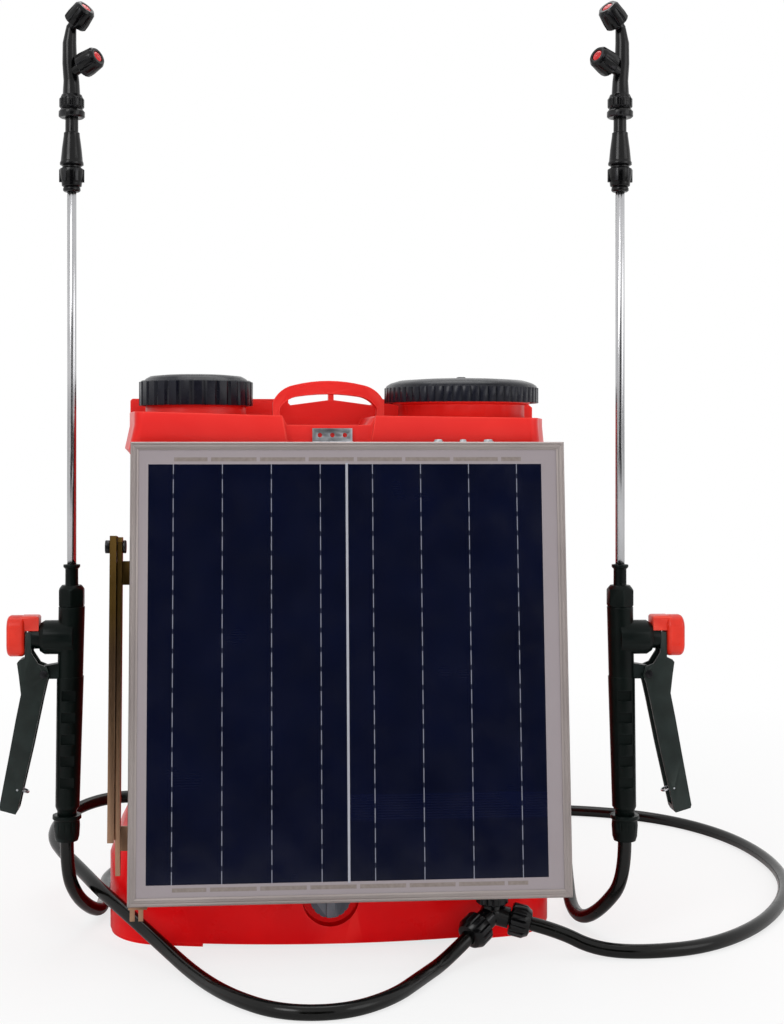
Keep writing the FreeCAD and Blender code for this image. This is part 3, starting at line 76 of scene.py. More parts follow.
def hexToLinear(code):
    # an sRGB hex colour turned to linear light
    channels = np.array([int(code[i:i + 2], 16) for i in (1, 3, 5)]) / 255
    linear = np.where(channels <= 0.04045, channels / 12.92, ((channels + 0.055) / 1.055) ** 2.4)
    return (*linear.tolist(), 1.0)


def addNode(tree, kind, settings=None, *inputs):
    # one shader node: settings by name or socket number, then its first inputs in order;
    # a socket, or a node for its first output, is linked, and anything else is set
    node = tree.nodes.new("ShaderNode" + kind)
    for name, value in [*(settings or {}).items(), *enumerate(inputs)]:
        if isinstance(value, bpy.types.Node):
            value = value.outputs[0]
        if isinstance(name, str) and name not in node.inputs:
            setattr(node, name, value)
        elif isinstance(value, bpy.types.NodeSocket):
            tree.links.new(value, node.inputs[name])
        else:
            node.inputs[name].default_value = value
    return node


def newMaterial(name, shader):
    # an empty node material with its surface shader, its output and the object's coordinates
    material = bpy.data.materials.new(name)
    material.use_nodes = True
    tree = material.node_tree
    tree.nodes.clear()
    surface = addNode(tree, "BsdfPrincipled", shader)
    addNode(tree, "OutputMaterial", {"Surface": surface})
    return material, tree, surface, addNode(tree, "TexCoord").outputs["Object"]


lamps = {
    "keyLamp": {"place": (-1.5, -1.9, 1.9), "size": 1.3, "power": 22, "inGloss": True},
    "fillLamp": {"place": (1.9, -1.4, 1.1), "size": 1.5, "power": 9, "inGloss": True},
    "topLamp": {"place": (0.1, 0.5, 2.4), "size": 1.6, "power": 15, "inGloss": True},
    "frontLamp": {"place": (0.05, -2.1, 0.22), "size": 1.2, "power": 17, "inGloss": False},  # under the panel
}
lampAim = (0, 0, 0.3)


def softLamp(name, look):
    # a round area light turned towards the lamps' common aim
    lamp = bpy.data.objects.new(name, bpy.data.lights.new(name, "AREA"))
    lamp.data.shape = "DISK"
    lamp.data.size = look["size"]
    lamp.data.energy = look["power"]
    lamp.location = look["place"]
    lamp.rotation_euler = (Vector(lampAim) - Vector(look["place"])).to_track_quat("-Z", "Y").to_euler()
    lamp.visible_glossy = look["inGloss"]
    scene.collection.objects.link(lamp)


for name, look in lamps.items():
    softLamp(name, look)

ambient = 0.60  # how much of the white studio falls on the sprayer as light


def studioSky():
    # full white to the eye, in gloss and through glass, and dimmer as light
    world = bpy.data.worlds.new("studioWorld")
    scene.world = world
    world.use_nodes = True
    sky = world.node_tree
    sky.nodes.clear()
    rays = addNode(sky, "LightPath")
    seen = addNode(sky, "Math", {"operation": "MAXIMUM"},
                   rays.outputs["Is Camera Ray"], rays.outputs["Is Glossy Ray"])
    seen = addNode(sky, "Math", {"operation": "MAXIMUM"}, seen, rays.outputs["Is Transmission Ray"])
    dim = addNode(sky, "Background", {"Color": (1, 1, 1, 1), "Strength": ambient})
    white = addNode(sky, "Background", {"Color": (1, 1, 1, 1), "Strength": 1.0})
    addNode(sky, "OutputWorld", {"Surface": addNode(sky, "MixShader", {}, seen, dim, white)})


def flatBoard(name, corners):
    # one four-cornered face of the studio, which isn't part of the sprayer
    mesh = bpy.data.meshes.new(name)
    mesh.from_pydata(corners, [], [(0, 1, 2, 3)])
    board = bpy.data.objects.new(name, mesh)
    scene.collection.objects.link(board)
    return board


floor = {"reach": 12, "grey": 0.9, "nearest": 0.5, "farthest": 1.3, "nearWhite": 0.74}


def paleFloor():
    # painted studio floor: to the eye it is nearly all white, wholly so far off, and it keeps the shadow
    reach, grey = floor["reach"], floor["grey"]
    board = flatBoard("studioFloor", [
        (-reach, -reach, 0), (reach, -reach, 0), (reach, reach, 0), (-reach, reach, 0)])
    material, tree, surface, where = newMaterial("studioFloorPaint", {
        "Base Color": (grey, grey, grey, 1), "Roughness": 0.9})
    rays = addNode(tree, "LightPath")
    glow = addNode(tree, "Emission", {"Strength": 1.0})
    away = addNode(tree, "VectorMath", {"operation": "LENGTH"}, where)
    fade = addNode(tree, "MapRange", {"From Min": floor["nearest"], "From Max": floor["farthest"],
                                      "To Min": floor["nearWhite"]}, away.outputs["Value"])
    share = addNode(tree, "Math", {"operation": "MULTIPLY"}, rays.outputs["Is Camera Ray"], fade)
    blend = addNode(tree, "MixShader", {}, share, surface, glow)
    out = next(node for node in tree.nodes if node.type == "OUTPUT_MATERIAL")
    tree.links.new(blend.outputs[0], out.inputs["Surface"])
    board.data.materials.append(material)


flags = {
    "darkFlag": [(-0.9, -2.7, 0.0), (0.9, -2.7, 0.0), (0.9, -2.7, 1.5), (-0.9, -2.7, 1.5)],
    "darkMat": [(-0.9, -2.7, 0.003), (0.9, -2.7, 0.003), (0.9, -0.8, 0.003), (-0.9, -0.8, 0.003)],
}


def darkFlags():
    # black cards behind the camera and under it, seen only in gloss, as studios hang for metal and glass
    material = newMaterial("blackFlock", {"Base Color": (0.004, 0.004, 0.005, 1), "Roughness": 1.0})[0]
    for name, corners in flags.items():
        card = flatBoard(name, corners)
        card.data.materials.append(material)
        card.visible_camera = False
        card.visible_diffuse = False
        card.visible_shadow = False
        card.visible_transmission = False


studioSky()
paleFloor()
darkFlags()
print("camera and light set")


@contextmanager
def editing(mesh):
    # a mesh opened for bmesh operations and then written back
    net = bmesh.new()
    net.from_mesh(mesh)
    yield net
    net.to_mesh(mesh)
    net.free()


def surfaceMesh(name, points, wrapAcross=True, wrapAlong=False, uv=None):
    # a grid of points, rows along and columns across, joined into faces; doubled points at poles are merged
    rows, columns = points.shape[:2]
    index = np.arange(rows * columns).reshape(rows, columns)
    if wrapAlong:
        index = np.vstack([index, index[:1]])
    if wrapAcross:
        index = np.hstack([index, index[:, :1]])
    faces = np.stack([index[:-1, :-1], index[:-1, 1:], index[1:, 1:], index[1:, :-1]], -1).reshape(-1, 4)
    mesh = bpy.data.meshes.new(name)
    mesh.from_pydata(points.reshape(-1, 3).tolist(), [], faces.tolist())
    if uv is not None:
        layer = mesh.uv_layers.new(name="span")
        loops = np.empty(len(mesh.loops), np.int32)
        mesh.loops.foreach_get("vertex_index", loops)
        layer.data.foreach_set("uv", uv.reshape(-1, 2)[loops].ravel())
    with editing(mesh) as net:
        bmesh.ops.remove_doubles(net, verts=net.verts, dist=1e-7)
        bmesh.ops.recalc_face_normals(net, faces=net.faces)
    mesh.shade_smooth()
    return mesh


def closeRims(mesh):
    # each open rim filled with one face
    with editing(mesh) as net:
        bmesh.ops.holes_fill(net, edges=net.edges, sides=0)
        bmesh.ops.recalc_face_normals(net, faces=net.faces)
    return mesh


def closedTube(name, rings, uv=None):
    # rings joined into a tube, each end drawn in to the middle of its last ring
    ends = [np.repeat(ring.mean(1, keepdims=True), rings.shape[1], 1) for ring in (rings[:1], rings[-1:])]
    if uv is not None:
        uv = np.concatenate([uv[:1], uv, uv[-1:]])
    return surfaceMesh(name, np.concatenate([ends[0], rings, ends[1]]), uv=uv)


def pieceFrom(name, mesh, material, body, slot, *replaced):
    # the finished mesh as a piece of the object
    piece = bpy.data.objects.new(name, mesh)
    scene.collection.objects.link(piece)
    mesh.materials.clear()
    mesh.materials.append(material)
    if replaced:
        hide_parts(*replaced)
    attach(piece, body)
    return piece


def joinedMesh(name, meshes):
    # several closed meshes kept as one
    net = bmesh.new()
    for mesh in meshes:
        net.from_mesh(mesh)
    whole = bpy.data.meshes.new(name)
    net.to_mesh(whole)
    net.free()
    whole.shade_smooth()
    return whole


def softLine(corners, radius, steps=5):
    # a line of corners with each inner corner swept round as a quadratic curve set back by the radius,
    # or by just under half the way to the next corner
    line = np.array(corners, float)
    before, corner, after = line[:-2], line[1:-1], line[2:]
    intoLength = np.linalg.norm(before - corner, axis=1, keepdims=True)
    outLength = np.linalg.norm(after - corner, axis=1, keepdims=True)
    underHalf = 0.48
    start = corner + (before - corner) * np.minimum(radius / intoLength, underHalf)
    end = corner + (after - corner) * np.minimum(radius / outLength, underHalf)
    t = np.linspace(0, 1, steps)[None, :, None]
    curve = (1 - t) ** 2 * start[:, None] + 2 * t * (1 - t) * corner[:, None] + t ** 2 * end[:, None]
    return np.vstack([line[:1], curve.reshape(-1, line.shape[1]), line[-1:]])


def roundAngles(count):
    # angles spaced evenly round a full turn
    return np.linspace(0, 2 * np.pi, count, endpoint=False)


def signedPower(value, power):
    # the value's size raised to the power with its sign kept; a power under 1 squares a circle off
    return np.sign(value) * np.abs(value) ** power


def smoothStep(low, high, value):
    # 0 below low, 1 above high and a cubic between them that is level at both ends
    t = np.clip((value - low) / (high - low), 0, 1)
    return t * t * (3 - 2 * t)


def axisFrame(way):
    # three unit directions with the last along the way
    up = Vector(way).normalized()
    side = up.orthogonal().normalized()
    return np.array([side, up.cross(side), up])


def turnedMesh(name, profile, segments=96, foot=(0, 0, 0), way=(0, 0, 1), groove=None):
    # a radius and height profile carried round an axis;
    # groove takes radius, height and angle and gives what is cut away
    angle = roundAngles(segments)[None, :]
    radius = profile[:, :1] + 0 * angle
    height = profile[:, 1:] + 0 * angle
    if groove is not None:
        radius = radius - groove(radius, height, angle)
    local = np.stack([radius * np.cos(angle), radius * np.sin(angle), height], -1)
    return surfaceMesh(name, local @ axisFrame(way) + np.array(foot))


def ribGroove(count, depth, share, lowest, highest, least):
    # narrow valleys spaced evenly round a skirt, fading out over half a millimetre at its two ends
    fadeLength = 0.5 * mm

    def groove(radius, height, angle):
        # the depth where the angle lies in a valley's share of its pitch and the radius is over the least
        phase = np.abs(((angle * count / (2 * np.pi)) % 1) - 0.5) * 2
        valley = np.clip((phase - (1 - share)) / share, 0, 1) ** 0.6
        fade = np.clip((height - lowest) / fadeLength, 0, 1) * np.clip((highest - height) / fadeLength, 0, 1)
        return depth * valley * fade * (radius > least)
    return groove


smoothing = {"mergeWithin": 2e-6, "flatUnder": 0.6, "roundOver": 32}  # metres, degrees, degrees


def dressedNode(node, material, edge, segments):
    # a merged copy of a CAD node with its edges rounded and its curves shaded smooth
    mesh = nodes[node].data.copy()
    with editing(mesh) as net:
        bmesh.ops.remove_doubles(net, verts=net.verts, dist=smoothing["mergeWithin"])
        bmesh.ops.dissolve_limit(net, angle_limit=math.radians(smoothing["flatUnder"]), verts=net.verts,
                                 edges=net.edges)
    mesh.shade_smooth()
    piece = pieceFrom(node + "_finished", mesh, material, bodyOf[node], slotOf[node], node)
    rounding = piece.modifiers.new("roundedEdges", "BEVEL")
    rounding.width = edge
    rounding.segments = segments
    rounding.limit_method = "ANGLE"
    rounding.angle_limit = math.radians(smoothing["roundOver"])
    rounding.harden_normals = True
    rounding.use_clamp_overlap = True


def mouldedPlastic(name, look):
    # moulded plastic: soft clouds in the colour, mould grain in the surface, and edges paler: rubbed wear at
    # sharp ones;
    # real mould grain is under 0.3 mm across and is drawn coarser so that it shows;
    # a rim is where the normal averaged over the rim width in millimetres leans away from the surface's own,
    # and there the paler colour is a painted highlight
    material, tree, surface, where = newMaterial(name, {
        "IOR": look["ior"], "Coat Weight": look.get("coat", 0.0), "Coat Roughness": 0.12,
        "Specular IOR Level": look.get("specular", 0.5)})
    cloud = addNode(tree, "TexNoise", {"Scale": 1000 / look["cloudMm"], "Detail": 3.0}, where)
    tone = addNode(tree, "MapRange", {"From Min": 0.35, "From Max": 0.65}, cloud)
    base = addNode(tree, "Mix", {
        "data_type": "RGBA", 6: hexToLinear(look["shade"]), 7: hexToLinear(look["colour"])}, tone)
    shape = addNode(tree, "NewGeometry")
    rim = addNode(tree, "MapRange", {"From Min": 0.52, "From Max": 0.60, "To Max": look.get("rub", 0.35)},
                  shape.outputs["Pointiness"])
    # painted highlight: along rims the paler edge colour is laid on, standing in for light caught by rounded
    # edges
    if look.get("highlightRimMm"):
        turned = addNode(tree, "Bevel", {"samples": 4, "Radius": look["highlightRimMm"] * mm})
        level = addNode(tree, "VectorMath", {"operation": "DOT_PRODUCT"}, turned, shape.outputs["Normal"])
        paintedRimHighlight = addNode(tree, "MapRange", {"From Min": 0.995, "From Max": 0.86, "To Max": look["highlightRimShare"]},
                        level.outputs["Value"])
        rim = addNode(tree, "Math", {"operation": "MAXIMUM"}, rim, paintedRimHighlight)
    # the edge colour over sharp edges as rubbed wear and over rims as a painted highlight
    wornAndHighlitEdges = addNode(tree, "Mix", {
        "data_type": "RGBA", 6: base.outputs[2], 7: hexToLinear(look["edge"])}, rim)
    tree.links.new(wornAndHighlitEdges.outputs[2], surface.inputs["Base Color"])
    smear = addNode(tree, "TexNoise", {"Scale": 1000 / (look["cloudMm"] * 0.4), "Detail": 4.0}, where)
    gloss = addNode(tree, "MapRange", {"From Min": 0.3, "From Max": 0.7, "To Min": look["rough"] - 0.05,
                                       "To Max": look["rough"] + 0.07}, smear)
    tree.links.new(gloss.outputs[0], surface.inputs["Roughness"])
    grain = addNode(tree, "TexNoise", {"Scale": 1000 / look["grainMm"], "Detail": 2.0}, where)
    lift = addNode(tree, "Bump", {
        "Strength": look["grain"], "Distance": look["grainMm"] * 0.15 * mm, "Height": grain})
    tree.links.new(lift.outputs[0], surface.inputs["Normal"])
    return material


def metalFinish(name, look):
    # plated or drawn metal: grain stretched as asked, patches of tone, and a paler colour low down if asked;
    # real grain is about 0.1 mm across and is drawn coarser so that it shows;
    # fade holds the height where the paler colour is whole, the height where it ends and the colour
    material, tree, surface, where = newMaterial(name, {"Metallic": look.get("metallic", 1.0)})
    drawn = addNode(tree, "Mapping", {"Scale": look["stretch"]}, where)
    grain = addNode(tree, "TexNoise", {"Scale": 1000 / look["grainMm"], "Detail": 3.0}, drawn)
    cloud = addNode(tree, "TexNoise", {"Scale": 1000 / look["cloudMm"], "Detail": 2.0}, where)
    tone = addNode(tree, "MapRange", {"From Min": 0.35, "From Max": 0.65}, cloud)
    base = addNode(tree, "Mix", {
        "data_type": "RGBA", 6: hexToLinear(look["shade"]), 7: hexToLinear(look["colour"])}, tone)
    if look.get("fade"):
        low, high, pale = look["fade"]
        height = addNode(tree, "SeparateXYZ", {}, where)
        share = addNode(tree, "MapRange", {"From Min": high, "From Max": low}, height.outputs["Z"])
        base = addNode(tree, "Mix", {"data_type": "RGBA", 6: base.outputs[2], 7: hexToLinear(pale)}, share)
    tree.links.new(base.outputs[2], surface.inputs["Base Color"])
    gloss = addNode(tree, "MapRange", {"From Min": 0.3, "From Max": 0.7, "To Min": look["rough"] - 0.06,
                                       "To Max": look["rough"] + 0.08}, grain)
    tree.links.new(gloss.outputs[0], surface.inputs["Roughness"])
    lift = addNode(tree, "Bump", {"Strength": look["grain"], "Distance": 0.02 * mm, "Height": grain})
    tree.links.new(lift.outputs[0], surface.inputs["Normal"])
    return material


blownPolyethylene = mouldedPlastic("blownPolyethylene", {  # tank: soft gloss, faint ripple of a blown wall
    "colour": "#dc221b", "shade": "#d41712", "edge": "#f85c50", "ior": 1.51, "rough": 0.38, "cloudMm": 70,
    # the rim width and share paint a highlight along the tank's rounded edges
    "grainMm": 1.6, "grain": 0.22, "rub": 0.22, "specular": 0.25, "highlightRimMm": 2.6, "highlightRimShare": 0.45})
mouldedPolypropyleneRed = mouldedPlastic("mouldedPolypropyleneRed", {  # base: deeper red, tighter gloss
    "colour": "#e2040b", "shade": "#d60008", "edge": "#ff4840", "ior": 1.49, "rough": 0.30, "cloudMm": 60,
    # the rim width and share paint a highlight along the base's rounded edges
    "grainMm": 1.0, "grain": 0.15, "rub": 0.2, "specular": 0.18, "highlightRimMm": 2.0, "highlightRimShare": 0.3})
blackPolypropylene = mouldedPlastic("blackPolypropylene", {  # caps and fittings: blue-black satin
    "colour": "#0c0e18", "shade": "#080911", "edge": "#2c2d38", "ior": 1.49, "rough": 0.26, "cloudMm": 30,
    "grainMm": 0.7, "grain": 0.12, "specular": 0.22})
glassFilledNylon = mouldedPlastic("glassFilledNylon", {  # grips: green-black with a dull bloom
    "colour": "#060d0b", "shade": "#040807", "edge": "#1f2928", "ior": 1.53, "rough": 0.34, "cloudMm": 22,
    "grainMm": 0.6, "grain": 0.22, "specular": 0.10})
sandedNylon = mouldedPlastic("sandedNylon", {  # levers and valves: the same green-black, rubbed greyer
    "colour": "#1c2422", "shade": "#151b19", "edge": "#454d4a", "ior": 1.53, "rough": 0.42, "cloudMm": 16,
    "grainMm": 0.6, "grain": 0.3, "specular": 0.2})
blackAcetal = mouldedPlastic("blackAcetal", {  # nozzles: harder and glossier
    "colour": "#070708", "shade": "#040405", "edge": "#3a3a3e", "ior": 1.48, "rough": 0.19, "cloudMm": 12,
    "grainMm": 0.5, "grain": 0.05, "specular": 0.26})
greyAcetal = mouldedPlastic("greyAcetal", {  # speed knob: blue-grey, satin
    "colour": "#4a4d56", "shade": "#3b3e47", "edge": "#8a8c94", "ior": 1.48, "rough": 0.34, "cloudMm": 12,
    "grainMm": 0.5, "grain": 0.2, "specular": 0.3})
orangeRedNylon = mouldedPlastic("orangeRedNylon", {  # valve knobs
    "colour": "#d02c1a", "shade": "#c32414", "edge": "#ee6450", "ior": 1.53, "rough": 0.32, "cloudMm": 14,
    "grainMm": 0.6, "grain": 0.18, "specular": 0.3})
signalRedDisc = mouldedPlastic("signalRedDisc", {  # swirl discs in the nozzle caps
    "colour": "#c80d10", "shade": "#b4080c", "edge": "#f0453a", "ior": 1.5, "rough": 0.16, "cloudMm": 5,
    "grainMm": 0.5, "grain": 0.05, "coat": 0.2, "specular": 0.3})
softRubber = mouldedPlastic("softRubber", {  # seals and rests
    "colour": "#151515", "shade": "#101010", "edge": "#2b2b2b", "ior": 1.52, "rough": 0.62, "cloudMm": 10,
    "grainMm": 0.5, "grain": 0.4, "specular": 0.3})
naturalPolypropylene = mouldedPlastic("naturalPolypropylene", {  # strainer basket, milky
    "colour": "#e4e3dc", "shade": "#d8d7cf", "edge": "#f2f2ee", "ior": 1.49, "rough": 0.4, "cloudMm": 20,
    "grainMm": 0.8, "grain": 0.2})
lacqueredBoard = mouldedPlastic("lacqueredBoard", {  # circuit boards
    "colour": "#1c6b3a", "shade": "#155430", "edge": "#2f8a55", "ior": 1.55, "rough": 0.3, "cloudMm": 12,
    "grainMm": 0.6, "grain": 0.2})
zincPlate = metalFinish("zincPlate", {  # hinge and fixings: bright, slightly blue
    "colour": "#b9bcc0", "shade": "#9a9da2", "rough": 0.34, "grainMm": 1.2, "cloudMm": 8, "grain": 0.5,
    "stretch": (1, 1, 1)})
yellowZinc = metalFinish("yellowZinc", {  # prop leg: passivated, brown-gold with a pink cast
    "colour": "#54401f", "shade": "#33260f", "rough": 0.36, "grainMm": 2.0, "cloudMm": 60, "grain": 0.4,
    "stretch": (4, 4, 0.3), "fade": (0.10, 0.30, "#a5826a")})
anodisedAluminium = metalFinish("anodisedAluminium", {  # panel frame: warm grey with an even, satin grain
    "colour": "#9c9390", "shade": "#918886", "rough": 0.42, "grainMm": 1.5, "cloudMm": 90, "grain": 0.3,
    "stretch": (1, 1, 1), "metallic": 0.75})
blackenedSteel = metalFinish("blackenedSteel", {  # leg bolts and pins: oiled black
    "colour": "#3a3a3c", "shade": "#222224", "rough": 0.38, "grainMm": 1.2, "cloudMm": 8, "grain": 0.4,
    "stretch": (1, 1, 1)})
drawnStainless = metalFinish("drawnStainless", {  # wands: drawn tube, grey in the middle, bright at the sides
    "colour": "#bcbcbe", "shade": "#b0b0b2", "rough": 0.20, "grainMm": 0.8, "cloudMm": 40, "grain": 0.08,
    "stretch": (1, 1, 0.02)})
print("materials made")

lances = {
    "left": {"place": (-0.230, -0.070, 0.0), "side": 1},
    "right": {"place": (0.250, -0.106, 0.0), "side": -1},
}
hoses = {
    "radius": 0.006, "hub": (0.134, -0.122, 0.034), "arm": 0.033,
    "left": {
        "node": "left_hose", "length": 1.42, "way": (-0.70, -0.58, -0.416), "lead": 0.032,
        "route": [
            (66, -194, 7), (37, -236, 6), (-3, -263, 6), (-51, -260, 6), (-88, -226, 6), (-118, -176, 6),
            (-149, -124, 15), (-182, -90, 33), (-207, -60, 44), (-226, -26, 51), (-248, 12, 58),
            (-262, 48, 63), (-259, 84, 70), (-239, 112, 78), (-206, 124, 83), (-160, 114, 83),
            (-78, 119, 83), (-10, 114, 83),
            (52, 119, 83), (108, 115, 83), (154, 119, 84), (188, 118, 84), (216, 102, 80), (232, 74, 64),
            (232, 40, 46), (227, 4, 24), (222, -34, 10), (226, -66, 9), (238, -92, 27), (254.2, -106, 55.5),
            (254.2, -106, 90.5)]},
    "right": {
        "node": "right_hose", "length": 1.59, "way": (0.955, -0.20, -0.22), "lead": 0.026,
        "route": [
            (218, -141, 8), (256, -149, 6), (322, -138, 6), (392, -78, 6), (446, 14, 6), (466, 110, 6),
            (452, 216, 6), (398, 300, 6), (304, 344, 6), (196, 352, 6), (92, 322, 6), (-6, 270, 6),
            (-104, 226, 6), (-182, 180, 6), (-218, 116, 6), (-212, 54, 6), (-211, 4, 6), (-218, -27, 17),
            (-228, -54, 37), (-234.2, -70, 62.5), (-234.2, -70, 90.5)]},
}


def hosePlastic():
    # extruded PVC hose: wet-looking black with scuffs that dull it and a faint ripple
    material, tree, surface, where = newMaterial("extrudedPvcHose", {
        "Base Color": hexToLinear("#050504"), "IOR": 1.53, "Specular IOR Level": 0.24})
    scuff = addNode(tree, "TexNoise", {"Scale": 1000 / 9, "Detail": 5.0}, where)
    gloss = addNode(tree, "MapRange", {
        "From Min": 0.4, "From Max": 0.75, "To Min": 0.14, "To Max": 0.30}, scuff)
    tree.links.new(gloss.outputs[0], surface.inputs["Roughness"])
    ripple = addNode(tree, "TexNoise", {"Scale": 1000 / 4, "Detail": 1.0}, where)
    lift = addNode(tree, "Bump", {"Strength": 0.25, "Distance": 0.05 * mm, "Height": ripple})
    tree.links.new(lift.outputs[0], surface.inputs["Normal"])
    return material


pvcHose = hosePlastic()


def routeOf(hose):
    # the hose leaves its nut straight for its lead, then follows its route up into the lance
    direction = np.array(hose["way"]) / np.linalg.norm(hose["way"])
    start = np.array(hoses["hub"]) + direction * hoses["arm"]
    points = [start, start + direction * hose["lead"], *[np.array(point) * mm for point in hose["route"]]]
    return [tuple(point) for point in points]


def hoseCurve(name, look):
    # a round section swept along a quadratic spline that the route's points pull
    points = routeOf(look)
    curve = bpy.data.curves.new(name, "CURVE")
    curve.dimensions = "3D"
    curve.bevel_depth = hoses["radius"]
    curve.bevel_resolution = 8
    curve.resolution_u = 16
    curve.use_fill_caps = True
    spline = curve.splines.new("NURBS")
    spline.points.add(len(points) - 1)
    spline.points.foreach_set("co", np.hstack([np.array(points), np.ones((len(points), 1))]).ravel())
    spline.order_u = 3
    spline.use_endpoint_u = True
    spline.use_smooth = True
    hose = bpy.data.objects.new(name, curve)
    scene.collection.objects.link(hose)
    curve.materials.append(pvcHose)
    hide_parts(look["node"])
    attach(hose, bodyOf[look["node"]])


hoseCurve("leftHose", hoses["left"])
hoseCurve("rightHose", hoses["right"])
print("hoses laid")

panel = {
    "x": 0.0105, "lean": 5.55, "wide": 0.370, "high": 0.383, "deep": 0.017, "lip": 0.0070,
    "lipThick": 0.0015, "wall": 0.0016, "flange": 0.014, "edge": 0.0009, "soft": 0.00025,
    "mitreGap": 0.00012, "crispOver": 35, "slabPlay": 0.0004, "slabDrop": 0.0001, "slabThick": 0.0036,
}
panelLean = math.radians(panel["lean"])
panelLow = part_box("panel_frame")[0]
panelFoot = (panelLow.y, panelLow.z + panel["deep"] * math.sin(panelLean))  # its bottom front edge


def onPanel(across, up, out):
    # panel places to world places: across, up the face and out of it, leaned back about the bottom edge
    across, up, out = np.broadcast_arrays(across, up, out)
    return np.stack([panel["x"] + across,
                     panelFoot[0] + up * math.sin(panelLean) - out * math.cos(panelLean),
                     panelFoot[1] + up * math.cos(panelLean) + out * math.sin(panelLean)], -1)


def barSection():
    # the bar's outline from its outer back corner: a front lip with a fine groove, a thin wall, a rear flange
    lip, thick, wall, deep, flange, edge = (
        panel[key] for key in ("lip", "lipThick", "wall", "deep", "flange", "edge"))
    corners = [
        (0.0, -deep), (0.0, -edge), (edge, 0.0), (0.0020, 0.0), (0.0024, -0.0004), (0.0029, -0.0004),
        (0.0033, 0.0), (lip - 0.0015, 0.0), (lip, -0.0010), (lip, -thick), (wall, -thick),
        (wall, -deep + thick), (flange, -deep + thick), (flange, -deep), (0.0, -deep)]
    return softLine(corners, panel["soft"], 3)[:-1]


def mitredBars():
    # the bar's section carried round the rectangle, each corner a sharp mitre; one closed shell per bar
    section = barSection()
    inset, out = section[:, 0], section[:, 1]
    half, tall = panel["wide"] / 2 - inset, panel["high"] - 2 * inset
    bars = []
    for ends in (((-1, 0), (1, 0)), ((1, 0), (1, 1)), ((1, 1), (-1, 1)), ((-1, 1), (-1, 0))):
        start, end = [onPanel(side * half, inset + top * tall, out) for side, top in ends]
        along = end - start
        along = along / np.linalg.norm(along, axis=1, keepdims=True)
        rings = np.array([start + along * panel["mitreGap"], end - along * panel["mitreGap"]])
        bars.append(closeRims(surfaceMesh("bar", rings)))
    return joinedMesh("panelBars", bars)


frameBars = pieceFrom("panelFrameBars", mitredBars(), anodisedAluminium, "solar_panel", slotOf["panel_frame"],
                      "panel_frame")
sharpBars = frameBars.modifiers.new("crispEdges", "EDGE_SPLIT")
sharpBars.split_angle = math.radians(panel["crispOver"])

panelScrews = {
    "across": (0.0772, 0.0986, 0.1205), "radius": (0.0046, 0.0036, 0.0050), "rise": 0.0026, "back": -0.0075,
    "profile": [(0.0, 0.0), (1.0, 0.0), (1.0, 0.30), (0.86, 0.34), (0.84, 0.86), (0.70, 1.0), (0.0, 1.0)],
    "washerTop": 0.32, "turned": 0.3,
}


def screwHeads():
    # hexagon heads on washers, standing on the panel's top edge with their axes up it:
    # above the washer the profile's reach is cut to a hexagon's at each angle
    profile = np.array(panelScrews["profile"])
    turn = roundAngles(48)[None, :]
    flat = np.cos(np.pi / 6) / np.cos((turn + panelScrews["turned"]) % (np.pi / 3) - np.pi / 6)
    hexed = (profile[:, 1:] > panelScrews["washerTop"]) * (profile[:, :1] > 0)
    heads = []
    for across, radius in zip(panelScrews["across"], panelScrews["radius"]):
        reach = radius * profile[:, :1] * (1 + hexed * (flat - 1))
        points = onPanel(across + reach * np.cos(turn), panel["high"] + panelScrews["rise"] * profile[:, 1:],
                         panelScrews["back"] + reach * np.sin(turn))
        heads.append(surfaceMesh("head", points))
    return joinedMesh("screwHeads", heads)


pieceFrom("panelScrewHeads", screwHeads(), zincPlate, "solar_panel", slotOf["panel_hinge_leaf"])


def laminateSheet():
    # glass, cells and backing as one thin slab; its map holds panel millimetres across and up
    low = panel["wall"] + panel["slabPlay"]
    half = panel["wide"] / 2 - low
    top = panel["high"] - low
    front = -panel["lipThick"] - panel["slabDrop"]
    back = front - panel["slabThick"]
    across = np.array([-half, half])
    rows = np.array([(low, back), (low, front), (top, front), (top, back)])
    points = onPanel(across[None, :], rows[:, :1], rows[:, 1:])
    uv = np.stack(np.broadcast_arrays(across[None, :] / mm, rows[:, :1] / mm), -1)
    mesh = closeRims(surfaceMesh("laminate", points, wrapAcross=False, wrapAlong=True, uv=uv))
    mesh.shade_flat()
    return mesh


# places in millimetres from the panel's middle and its bottom edge
cells = {
    "left": -170.0, "right": 165.0, "middle": -2.5, "low": 17.0, "high": 364.0, "middleGap": 2.0,
    "busbars": (21.0, 62.2, 103.5, 145.0), "busWidth": 0.75, "dashPitch": 16.2, "dashOn": 0.74,
    "dashFrom": 15.5, "soft": 0.15, "lineShare": 0.35, "dashShare": 0.78,
    "fingerPitch": 2.1, "fingerOver": 0.86, "fingerShare": 0.007,
    # the sheen rows, share and colour paint a reflection: a faint bluish band over the right-hand cells
    "paintedReflectionRows": (66.0, 88.0), "paintedReflectionShare": 0.07, "patchMm": 60, "dustMm": 25, "rippleMm": 1.25,
    "dark": "#040614", "blue": "#070c24", "sheen": "#10194a", "finger": "#6f7488", "backing": "#8a8285",
    "line": "#343848", "dash": "#80828d", "seam": "#96979f",
}
ribbons = {  # tinned strips above and below the cells, in pieces
    "off": 4.2, "wide": 3.4, "left": -148.5, "right": 147.5, "from": -200.0, "pitch": 41.3, "on": 0.93,
    "share": 0.85, "dull": "#5f5650", "bright": "#877d76", "cloudMm": 20 / 7,
}


